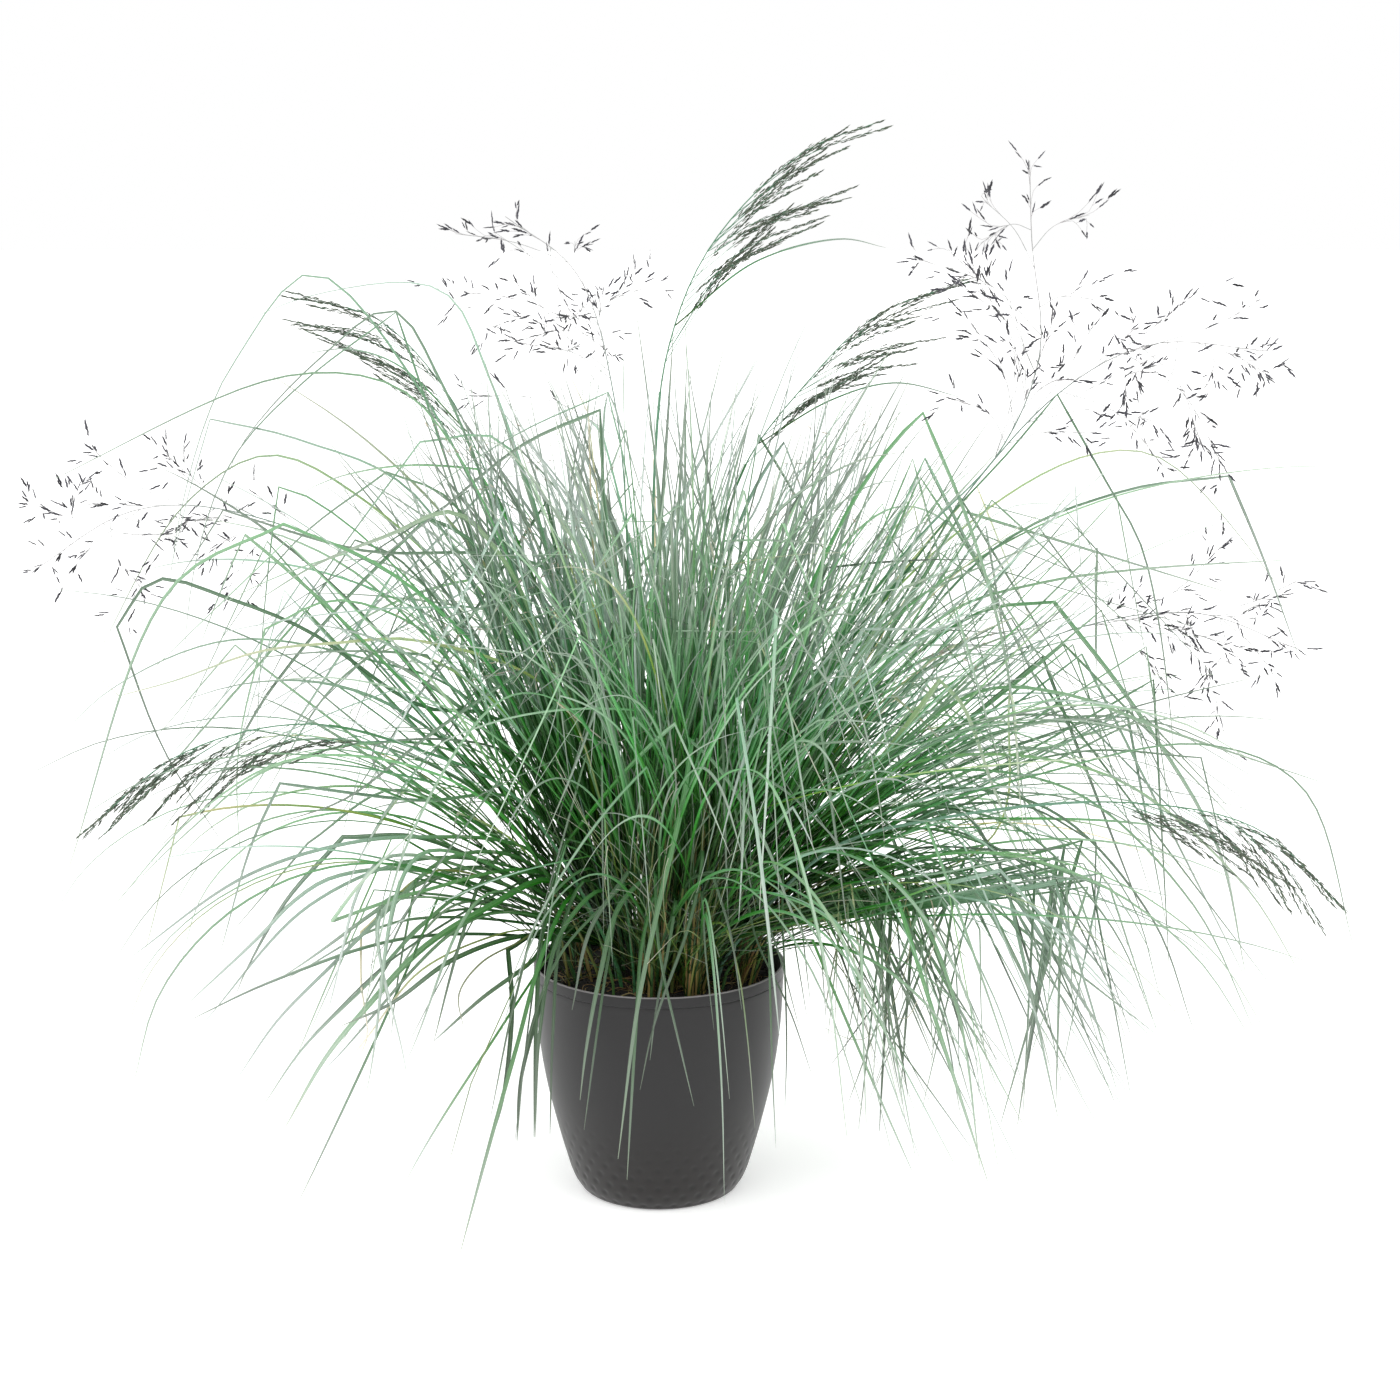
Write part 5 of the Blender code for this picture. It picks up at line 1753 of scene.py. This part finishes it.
    def add_group(self, start: Line, along: Line, end: Line) -> None:
        """Adds a branchlet with a spikelet at its tip and one or two beside it.

        Args:
            start: Where the branchlet leaves its branch.
            along: The branch's direction there.
            end: The branchlet's tip.
        """
        rng, strands, spikelets = self.rng, self.strands, self.spikelets
        span = float(np.linalg.norm(end - start))
        line = smooth(np.array([start, start + along * span * 0.35 + (end - start) * 0.2, end]), 13)
        strands.add(line[::3], np.linspace(0.4, 0.3, 5) * MM, Section.STALK, 0.97, 0.6)
        last = line[-1] - line[-3]
        aim = last + rng.normal(0, 0.1, 3) * np.linalg.norm(last)
        spikelets.add(end, aim, rng.uniform(0.85, 1.2), rng.uniform())
        for number in range(int(rng.integers(1, 3))):
            at = max(1, 12 - int((number + 1) * rng.uniform(7, 11) * MM / span * 12))
            ahead = line[at + 1] - line[at] if at < 12 else last
            aim = ahead / np.linalg.norm(ahead) + rng.normal(0, 0.24, 3)
            stem = np.array([line[at], line[at] + aim * rng.uniform(1, 4) * MM])
            strands.add(stem, np.array([0.3, 0.3]) * MM, Section.STALK, 0.97, 0.6)
            spikelets.add(stem[-1], aim, rng.uniform(0.75, 1.1), rng.uniform())


def square_to(along: Line, rng: np.random.Generator) -> Line:
    """Draws a direction square to another one."""
    side = rng.normal(0, 1, 3)
    side -= along * (side @ along)
    return side / np.linalg.norm(side)


def bowed(culm: Line, at: int, end: Line) -> Line:
    """Draws a branch that leaves the culm along it and bows out to its tip.

    Args:
        culm: The culm's points.
        at: The number of the point that the branch leaves.
        end: The branch's tip.

    Returns:
        The branch's points.
    """
    start = culm[at]
    along = unit(culm[min(len(culm) - 1, at + 4)] - start)
    middle = (start + end) / 2 + (along * np.linalg.norm(end - start) - (end - start)) * 0.125
    return smooth(np.array([start, middle, end]), 24)


FLOWER_STEMS = (
    FlowerStem(
        HeadKind.DENSE, 1,
        ((-2, -5, 440), (-2, -20, 640), (10, -28, 742), (45, -35, 825), (120, -45, 900), (181, -50, 924)),
        ((0.72, (110, -20, 856)), (0.78, (139, -42, 849)), (0.83, (160, -58, 872)), (0.88, (153, -60, 903))),
        (0.70, ((81, -24, 812), (151, -40, 831), (187, -52, 824))),
    ),
    FlowerStem(
        HeadKind.DENSE, 2,
        ((47, 40, 430), (68, 78, 615), (130, 100, 703), (195, 114, 763), (275, 120, 790)),
        ((0.72, (204, 128, 725)), (0.77, (226, 106, 719)), (0.83, (248, 100, 742)), (0.88, (262, 134, 773))),
        (0.66, ((150, 80, 690), (205, 66, 706), (266, 50, 693))),
    ),
    FlowerStem(
        HeadKind.DENSE, 3,
        ((-87, 50, 473), (-153, 75, 631), (-186, 90, 696), (-247, 98, 759), (-327, 100, 778)),
        ((0.74, (-281, 116, 735)), (0.80, (-307, 86, 749)), (0.86, (-329, 114, 757))),
        (0.70, ((-225, 76, 720), (-267, 66, 735), (-306, 55, 731))),
    ),
    FlowerStem(
        HeadKind.DENSE, 4,
        ((-115, -80, 369), (-193, -120, 421), (-281, -150, 449), (-376, -172, 430), (-459, -180, 365)),
        (
            (0.62, (-342, -140, 404)), (0.70, (-383, -190, 376)), (0.78, (-410, -158, 370)),
            (0.85, (-440, -194, 366)),
        ),
    ),
    FlowerStem(
        HeadKind.DENSE, 5,
        ((145, -80, 326), (234, -110, 361), (380, -145, 383), (485, -160, 365), (557, -170, 299)),
        (
            (0.70, (485, -140, 321)), (0.76, (512, -180, 322)), (0.82, (518, -150, 292)),
            (0.88, (538, -182, 284)),
        ),
    ),
    FlowerStem(
        HeadKind.OPEN, 1,
        ((-22, 70, 425), (-41, 160, 682), (-77, 195, 796), (-141, 210, 845)),
        (
            (0.66, (-187, 130, 690)), (0.70, (-55, 252, 735)), (0.74, (-124, 140, 735)),
            (0.78, (-199, 160, 782)), (0.82, (-21, 200, 779)), (0.86, (-80, 252, 822)),
            (0.90, (-185, 190, 830)),
        ),
    ),
    FlowerStem(
        HeadKind.OPEN, 2,
        (
            (113, -25, 426), (205, -45, 571), (283, -60, 660),
            (312, -70, 740), (302, -80, 830), (298, -85, 893),
        ),
        (
            (0.70, (236, -110, 707)), (0.74, (334, -30, 717)), (0.78, (253, -36, 792)),
            (0.82, (205, -100, 818)), (0.85, (354, -96, 784)), (0.89, (259, -122, 862)),
            (0.91, (352, -48, 850)),
        ),
    ),
    FlowerStem(
        HeadKind.OPEN, 3,
        ((123, 12, 423), (221, 22, 557), (342, 38, 698), (423, 45, 740), (523, 50, 734)),
        (
            (0.68, (362, 4, 668)), (0.72, (396, 70, 802)), (0.76, (433, 14, 636)), (0.80, (479, 90, 792)),
            (0.84, (492, 62, 631)), (0.88, (510, 18, 779)), (0.92, (530, 84, 712)),
        ),
    ),
    FlowerStem(
        HeadKind.OPEN, 4,
        ((-122, 40, 431), (-228, 70, 532), (-387, 100, 591), (-474, 112, 587), (-562, 120, 534)),
        (
            (0.62, (-368, 80, 618)), (0.66, (-395, 160, 512)), (0.71, (-449, 144, 640)),
            (0.76, (-472, 70, 502)), (0.80, (-496, 84, 645)), (0.85, (-547, 134, 514)),
            (0.88, (-576, 152, 592)),
        ),
    ),
    FlowerStem(
        HeadKind.OPEN, 5,
        ((126, 80, 358), (237, 130, 413), (385, 172, 472), (498, 188, 483), (598, 200, 446)),
        (
            (0.66, (438, 148, 504)), (0.71, (470, 160, 416)), (0.76, (523, 206, 545)),
            (0.80, (528, 190, 367)), (0.85, (585, 168, 517)), (0.88, (566, 152, 428)),
        ),
    ),
)


@dataclass
class YoungHeads:
    """Small sparse heads with straw-coloured spikelets, on thin culms that still stand among the leaves.

    Each is the depth of its tip and the picture points that its culm passes.
    """

    viewpoint: Viewpoint
    heads: tuple[tuple[float, tuple[Pair, ...]], ...] = (
        (-60, ((600, 700), (540, 560), (480, 470), (425, 425))),
        (20, ((615, 700), (580, 560), (545, 480), (505, 430))),
        (60, ((640, 700), (622, 560), (600, 500), (560, 460))),
        (-40, ((700, 700), (740, 560), (790, 480), (850, 440))),
        (40, ((720, 720), (780, 560), (830, 510), (885, 530))),
        (-80, ((800, 760), (880, 690), (950, 650), (1010, 655))),
        (-100, ((560, 740), (500, 660), (440, 620), (400, 640))),
    )
    branchlets: int = 15
    seed: int = 77

    def build(self, palette: Palette) -> None:
        """Builds the culms' piece and the spikelets' piece."""
        rng = np.random.default_rng(self.seed)
        strands, spikelets = Strands(), Spikelets()
        router = SeenLeaves("young_heads", (), (), self.viewpoint, self.seed)
        for depth, route in self.heads:
            culm = router.line_of(SeenLeaf(route, depth, 0.9))
            strands.add(culm, np.linspace(1.6, 0.4, len(culm)) * MM, Section.STALK, 0.75, 0.6)
            for at in rng.integers(25, 43, self.branchlets):
                along = unit(culm[at + 1] - culm[at])
                end = culm[at] + (along * 16 + rng.normal(0, 17, 3)) * MM
                twig = smooth(np.array([culm[at], culm[at] + along * 9 * MM, end]), 9)
                strands.add(twig, np.linspace(0.4, 0.3, 9) * MM, Section.STALK, 0.97, 0.6)
                for mark in (4, 6, 8):
                    aim = unit(twig[mark] - twig[mark - 2]) + rng.normal(0, 0.3, 3)
                    spikelets.add(twig[mark], aim, rng.uniform(0.7, 1.1), rng.uniform())
        settle(strands.swept("young_head_culms", palette, 4))
        template = spikelet_mesh(3, 6.0, 1.5)
        settle(spikelets.placed("young_head_spikelets", template, palette.young))


# Pot and soil


def turned(name: str, outline: Line, segments: int) -> Thing:
    """Turns an outline about Z into a closed solid.

    Args:
        name: The object's name.
        outline: Each point's radius and height in metres, from the axis underneath out, up and back to it.
        segments: How many steps the turn has.

    Returns:
        The object, with faces that point outwards.
    """
    angle = np.linspace(0, 2 * math.pi, segments, endpoint=False)
    radius, height = outline[1:-1, 0, None], np.repeat(outline[1:-1, 1, None], segments, axis=1)
    points = np.stack([radius * np.cos(angle), radius * np.sin(angle), height], axis=2).reshape(-1, 3)
    points = np.vstack([points, [0, 0, outline[0, 1]], [0, 0, outline[-1, 1]]])
    faces: list[tuple[int, ...]] = []
    last = (len(outline) - 3) * segments
    for low in range(0, last, segments):
        for step in range(segments):
            after = (step + 1) % segments
            faces.append((low + step, low + after, low + segments + after, low + segments + step))
    for step in range(segments):
        after = (step + 1) % segments
        faces += [(after, step, len(points) - 2), (last + step, last + after, len(points) - 1)]
    return mesh_object(name, points, (), faces)


@dataclass
class Planter:
    """The round pot: a moulded shell with a thin rim, a fine groove under it and a hammered lower third."""

    height: float = 206.0
    rim_radius: float = 110.0
    wall: float = 2.8
    floor: float = 4.0
    curve: tuple[Pair, ...] = (
        (66, 0), (71, 4), (77, 14), (84, 36), (90.3, 59), (100.5, 103), (107, 149), (109.6, 195),
    )
    rim_band: float = 10.0
    groove: float = 0.6
    bead_rise: float = 1.2
    segments: int = 360
    dimple_columns: float = 34.0
    dimple_row: float = 9.6
    dimple_radius: float = 4.6
    dimple_depth: float = 0.6
    dimples_from: float = 5.0
    dimples_to: float = 98.0
    drain_holes: int = 5
    drain_circle: float = 40.0
    drain_radius: float = 5.0

    def build(self, palette: Palette) -> None:
        """Builds the pot's piece."""
        pot = turned("pot_shell", self.outline() * MM, self.segments)
        values = {
            "Columns": self.dimple_columns,
            "Row height": self.dimple_row * MM,
            "Dimple radius": self.dimple_radius * MM,
            "Depth": self.dimple_depth * MM,
            "Lowest": self.dimples_from * MM,
            "Highest": self.dimples_to * MM,
            "Finish": palette.pot,
        }
        run_tree(pot, self.dimple_tree(), values)
        self.cut_drain_holes(pot)
        settle(pot, ("pot",), 32.0)

    def outline(self) -> Line:
        """Gives the outline in millimetres, from the axis underneath round to the axis on the floor."""
        radii, heights = (np.array(values, float) for values in zip(*self.curve))
        smooth_wall = smooth(np.column_stack([radii, np.zeros(len(radii)), heights]), 400)[:, [0, 2]]
        band, under = self.height - self.rim_band, self.height - self.bead_rise
        levels = np.concatenate([np.arange(0.0, 100.0, 1.3), np.linspace(100.0, band - 1.2, 34)])
        wall = np.column_stack([np.interp(levels, smooth_wall[:, 1], smooth_wall[:, 0]), levels])
        wall = wall[levels > 3.0]
        foot = np.array([(60.0, 0.0), (64.5, 0.0), (67.0, 0.5), (68.8, 1.4), (70.2, 2.6)])
        rim = [
            (self.rim_radius - self.groove, band - 0.5),
            (self.rim_radius - 1.6 * self.groove, band),
            (self.rim_radius - self.groove, band + 0.5),
            (self.rim_radius, band + 1.0),
            (self.rim_radius, under),
        ]
        half = self.wall / 2
        bead = [
            (self.rim_radius - half + half * math.cos(turn), under + self.bead_rise * math.sin(turn))
            for turn in np.linspace(0, math.pi, 9)
        ]
        levels = np.linspace(self.height - 2.4, 36.0, 22)
        reach = np.interp(levels, smooth_wall[:, 1], smooth_wall[:, 0]) - self.wall
        inside = np.column_stack([np.minimum(reach, self.rim_radius - self.wall), levels])
        bottom = [(77 - self.wall, 14.0), (73 - self.wall, self.floor)]
        return np.vstack([[(0.0, 0.0)], foot, wall, rim, bead, inside, bottom, [(0.0, self.floor)]])

    def dimple_tree(self) -> Tree:
        """Builds the tree that presses staggered rows of shallow ovals into the outside of the wall."""
        labels = ("Columns", "Row height", "Dimple radius", "Depth", "Lowest", "Highest")
        tree, given = new_tree("press_dimples", dict.fromkeys(labels, "Float") | {"Finish": "Material"})
        place = add_node(tree, "GeometryNodeInputPosition").outputs[0]
        parts = add_node(tree, "ShaderNodeSeparateXYZ", None, {0: place}).outputs
        found = {label: given[label] for label in labels} | {axis: parts[axis] for axis in "XYZ"}
        found["normal"] = add_node(tree, "GeometryNodeInputNormal").outputs[0]
        radial = add_node(tree, "ShaderNodeCombineXYZ", None, {"X": parts["X"], "Y": parts["Y"]})
        found["radial"] = radial.outputs[0]
        steps = (
            ("rows", "Math", "DIVIDE", "Z", "Row height"),
            ("row", "Math", "FLOOR", "rows"),
            ("up", "Math", "SUBTRACT", "rows", "row"),
            ("odd", "Math", "FLOORED_MODULO", "row", 2.0),
            ("shift", "Math", "MULTIPLY", "odd", 0.5),
            ("angle", "Math", "ARCTAN2", "Y", "X"),
            ("turns", "Math", "DIVIDE", "angle", 2 * math.pi),
            ("columns", "Math", "MULTIPLY_ADD", "turns", "Columns", "shift"),
            ("across", "Math", "FRACT", "columns"),
            ("radius", "VectorMath", "LENGTH", "radial"),
            ("girth", "Math", "MULTIPLY", "radius", 2 * math.pi),
            ("pitch", "Math", "DIVIDE", "girth", "Columns"),
        )
        calculate(tree, found, steps)
        for name, x, y in (("cell", "across", "up"), ("cell size", "pitch", "Row height")):
            joined = add_node(tree, "ShaderNodeCombineXYZ", None, {"X": found[x], "Y": found[y]})
            found[name] = joined.outputs[0]
        steps = (
            ("centred", "VectorMath", "SUBTRACT", "cell", (0.5, 0.5, 0.0)),
            ("from middle", "VectorMath", "MULTIPLY", "centred", "cell size"),
            ("far", "VectorMath", "LENGTH", "from middle"),
            ("bowl", "MapRange", "SMOOTHSTEP", "far", 0.4 * MM, "Dimple radius", -1.0, 0.0),
            ("fade up", "MapRange", "SMOOTHSTEP", "Z", 14 * MM, "Highest", 1.0, 0.0),
            ("above foot", "Math", "GREATER_THAN", "Z", "Lowest"),
            ("amount", "Math", "MULTIPLY", "bowl", "fade up"),
            ("pressed", "Math", "MULTIPLY", "amount", "Depth"),
            ("facing", "VectorMath", "DOT_PRODUCT", "normal", "radial"),
            ("outside", "Math", "GREATER_THAN", "facing", 0.0),
            ("chosen", "Math", "MULTIPLY", "outside", "above foot"),
            ("share", "Math", "MULTIPLY", "amount", "chosen"),
            ("mark", "Math", "ABSOLUTE", "share"),
        )
        calculate(tree, found, steps)
        inputs = {0: found["normal"], "Scale": found["pressed"]}
        offset = add_node(tree, "ShaderNodeVectorMath", {"operation": "SCALE"}, inputs)
        settings = {"data_type": "FLOAT", "domain": "POINT"}
        inputs = {"Geometry": given["Geometry"], "Name": "pressed", "Value": found["mark"]}
        marked = add_node(tree, "GeometryNodeStoreNamedAttribute", settings, inputs)
        inputs = {"Geometry": marked.outputs[0], "Selection": found["chosen"], "Offset": offset.outputs[0]}
        moved = add_node(tree, "GeometryNodeSetPosition", None, inputs)
        end_tree(tree, moved.outputs[0], {"Material": given["Finish"]})
        return tree

    def cut_drain_holes(self, pot: Thing) -> None:
        """Cuts the drain holes through the pot's floor.

        Args:
            pot: The pot's object.
        """
        cutters = bpy.data.collections.new("drain_cutters")
        bpy.context.scene.collection.children.link(cutters)
        sides = 24
        turn = np.linspace(0, 2 * math.pi, sides, endpoint=False)
        walls = [(i, (i + 1) % sides, sides + (i + 1) % sides, sides + i) for i in range(sides)]
        faces = [*walls, tuple(reversed(range(sides))), tuple(range(sides, 2 * sides))]
        for index in range(self.drain_holes):
            angle = 2 * math.pi * index / self.drain_holes
            middle = np.array([math.cos(angle), math.sin(angle)]) * self.drain_circle
            ring = middle + self.drain_radius * np.column_stack([np.cos(turn), np.sin(turn)])
            ends = (np.full(sides, level) for level in (-3.0, self.floor + 3.0))
            points = np.vstack([np.column_stack([ring, end]) for end in ends])
            cutter = mesh_object(f"drain_cutter_{index + 1}", points * MM, (), faces)
            bpy.context.scene.collection.objects.unlink(cutter)
            cutters.objects.link(cutter)
        cut = pot.modifiers.new("Drain holes", "BOOLEAN")
        cut.operation = "DIFFERENCE"
        cut.operand_type = "COLLECTION"
        cut.collection = cutters
        cut.solver = "EXACT"
        apply_modifiers(pot)
        for cutter in list(cutters.objects):
            remove(cutter)
        bpy.data.collections.remove(cutters)


@dataclass
class PottingSoil:
    """The soil: a lumpy top inside the rim with crumbs, straw and fine roots on it."""

    top: float = 192.0
    lump: float = 1.6
    crumbs: int = 1400
    crumb_mm: Pair = (0.7, 2.6)
    straws: int = 60
    roots: int = 110
    level_radius: float = 104.0
    seed: int = 61

    def build(self, palette: Palette) -> None:
        """Builds the soil's piece and what lies on it."""
        low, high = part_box("potting_soil")
        planter = Planter()
        radii, heights = (np.array(values, float) for values in zip(*planter.curve))
        levels = np.linspace(14.0, self.top - 1.5, 12)
        side = np.column_stack([np.interp(levels, heights, radii) - planter.wall - 0.5, levels])
        foot = [(0.0, planter.floor + 0.4), (side[0, 0] - 8, planter.floor + 0.4)]
        top = [(radius, self.top) for radius in np.linspace(side[-1, 0] - 1.0, 1.5, 46)]
        soil = turned("potting_soil_top", np.vstack([foot, side, top, [(0.0, self.top)]]) * MM, 200)
        self.roughen(soil.data)
        soil.data.materials.append(palette.soil)
        settle(soil, ("potting_soil",), 60.0)
        self.scatter_crumbs(palette)
        self.lay_straw(palette)
        LOG.info("the soil's solid is %.0f mm high", (high[2] - low[2]) / MM)

    def roughen(self, mesh: bpy.types.Mesh) -> None:
        """Makes the top lumpy.

        Args:
            mesh: The soil's mesh.
        """
        rng = np.random.default_rng(self.seed)
        co = np.array([vertex.co for vertex in mesh.vertices])
        lift = self.lumps(co[:, :2])
        inner = np.clip((103 * MM - np.hypot(co[:, 0], co[:, 1])) / (6 * MM), 0, 1)
        top = co[:, 2] > (self.top - 1) * MM
        co[:, 2] += np.where(top, (lift + rng.normal(0, 0.35 * MM, len(co))) * inner, 0)
        mesh.vertices.foreach_set("co", co.astype(np.float32).ravel())

    def lumps(self, flat: Line) -> Line:
        """Gives the height of the lumps at points on the soil.

        Args:
            flat: X and Y of each point.

        Returns:
            A height for each point.
        """
        rng = np.random.default_rng(self.seed + 1)
        lift = np.zeros(len(flat))
        for scale in (40, 75, 140, 260):
            for _ in range(4):
                angle, phase = rng.uniform(0, 2 * math.pi, 2)
                wave = flat[:, 0] * math.cos(angle) + flat[:, 1] * math.sin(angle)
                swing = wave * scale * rng.uniform(0.8, 1.2) * math.pi + phase
                lift += np.sin(swing) * self.lump * MM * 8 / scale
        return lift

    def scatter_crumbs(self, palette: Palette) -> None:
        """Scatters crumbs of compost over the soil.

        Args:
            palette: The finishes.
        """
        rng = np.random.default_rng(self.seed + 2)
        points = rng.normal(0, 1, (12, 3))
        points /= np.linalg.norm(points, axis=1)[:, None]
        crumb = mesh_object("one_crumb", points * [1, 0.8, 0.65] * MM)
        hull_faces(crumb)
        heap = Spikelets()
        radius = self.level_radius * MM * np.sqrt(rng.uniform(0, 1, self.crumbs))
        angle = rng.uniform(0, 2 * math.pi, self.crumbs)
        flat = np.column_stack([radius * np.cos(angle), radius * np.sin(angle)])
        for (x, y), height in zip(flat, self.lumps(flat)):
            size = rng.uniform(*self.crumb_mm) * rng.uniform(0.4, 1)
            place = np.array([x, y, self.top * MM + height * 0.8 + size * 0.3 * MM])
            heap.add(place, rng.normal(0, 1, 3), size, 0.5)
        settle(heap.placed("soil_crumbs", crumb, palette.soil), (), 50.0)

    def lay_straw(self, palette: Palette) -> None:
        """Lays broken straw and curly roots on the soil.

        Args:
            palette: The finishes.
        """
        rng = np.random.default_rng(self.seed + 3)
        strands = Strands()
        steps = 12
        for index in range(self.straws + self.roots):
            is_root = index >= self.straws
            radius = rng.uniform(30, 97) * MM
            angle = rng.uniform(0, 2 * math.pi)
            start = np.array([radius * math.cos(angle), radius * math.sin(angle), 0.0])
            length = rng.uniform(14, 46 if is_root else 62) * MM
            curl = np.cumsum(np.full(steps, rng.normal(0, 3.2 if is_root else 0.35) / steps))
            heading = rng.uniform(0, 2 * math.pi) + curl + rng.normal(0, 0.12, steps)
            line = grown(start, np.full(steps, math.pi / 2), heading, length)
            keep = np.hypot(line[:, 0], line[:, 1]) < 100 * MM
            line = line[: int(np.argmin(keep)) if not keep.all() else len(line)]
            if len(line) < 4:
                continue
            arch = np.sin(np.linspace(0, math.pi, len(line))) * rng.uniform(0, 7) * MM
            line[:, 2] = self.top * MM + self.lumps(line[:, :2]) + 0.5 * MM + arch
            girth = rng.uniform(0.4, 0.8) if is_root else rng.uniform(0.7, 1.8)
            width = np.linspace(1, 0.5, len(line)) * girth * MM
            strands.add(line, width, Section.STALK, rng.uniform(0.0, 0.16), rng.uniform(0.3, 1.0))
        settle(strands.swept("soil_straw_and_roots", palette, 4))


def hull_faces(thing: Thing) -> None:
    """Wraps an object's loose points in the faces of their convex hull."""
    tree, given = new_tree("wrap_points", {})
    hull = add_node(tree, "GeometryNodeConvexHull", None, {0: given["Geometry"]})
    end_tree(tree, hull.outputs[0])
    run_tree(thing, tree, {})


# Studio


@dataclass
class Studio:
    """A pale floor and soft white light from all round, a little stronger from above and in front."""

    floor_color: str = "#f4f4f4"
    floor_glow: float = 0.3
    floor_size: float = 60.0
    sky_strength: float = 1.0
    spread_deg: float = 65.0
    softboxes: tuple[tuple[str, float, Triple], ...] = (
        ("softbox_top", 1.0, (38.0, 8.0, -14.0)),
        ("softbox_right", 1.1, (70.0, 0.0, 72.0)),
        ("softbox_left", 1.1, (70.0, 0.0, -72.0)),
    )

    def build(self) -> None:
        """Builds the floor, the lights and the view's tone."""
        half = self.floor_size / 2
        corners = [(-half, -half, 0), (half, -half, 0), (half, half, 0), (-half, half, 0)]
        floor = mesh_object("studio_floor", corners, (), [(0, 1, 2, 3)])
        material = bpy.data.materials.new("pale_paper_floor")
        material.use_nodes = True
        constants = {
            "Base Color": linear(self.floor_color),
            "Roughness": 0.9,
            "Specular IOR Level": 0.0,
            "Emission Color": (1, 1, 1, 1),
            "Emission Strength": self.floor_glow,
        }
        for label, value in constants.items():
            material.node_tree.nodes["Principled BSDF"].inputs[label].default_value = value
        floor.data.materials.append(material)
        world = bpy.data.worlds.new("studio_sky")
        world.use_nodes = True
        sky = world.node_tree.nodes["Background"]
        sky.inputs["Color"].default_value = (1, 1, 1, 1)
        sky.inputs["Strength"].default_value = self.sky_strength
        bpy.context.scene.world = world
        for name, strength, tilt_deg in self.softboxes:
            light = bpy.data.lights.new(name, "SUN")
            light.energy = strength
            light.angle = math.radians(self.spread_deg)
            lamp = bpy.data.objects.new(name, light)
            lamp.rotation_euler = [math.radians(angle) for angle in tilt_deg]
            bpy.context.scene.collection.objects.link(lamp)
        view = bpy.context.scene.view_settings
        view.view_transform = "Standard"
        view.look = "None"


def main() -> None:
    """Builds the studio and every piece."""
    logging.basicConfig(level=logging.INFO, format="%(name)s: %(message)s")
    viewpoint = Viewpoint()
    viewpoint.make_camera()
    Studio().build()
    palette = Palette()
    Planter().build(palette)
    PottingSoil().build(palette)
    for number in range(1, 27):
        LeafTuft(number).build(palette)
    for leaf in LONG_LEAVES:
        leaf.build(palette)
    SeenLeaves("front_leaves", FRONT_LEAVES, (), viewpoint, 31).build(palette)
    SeenLeaves("left_leaves", LEFT_LEAVES, LEFT_CROWDS, viewpoint, 32).build(palette)
    SeenLeaves("right_leaves", RIGHT_LEAVES, RIGHT_CROWDS, viewpoint, 33).build(palette)
    SeenLeaves("centre_leaves", CENTRE_LEAVES, CENTRE_CROWDS, viewpoint, 34).build(palette)
    YoungHeads(viewpoint).build(palette)
    for stem in FLOWER_STEMS:
        stem.build(palette)
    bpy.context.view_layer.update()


if __name__ == "__main__":
    main()
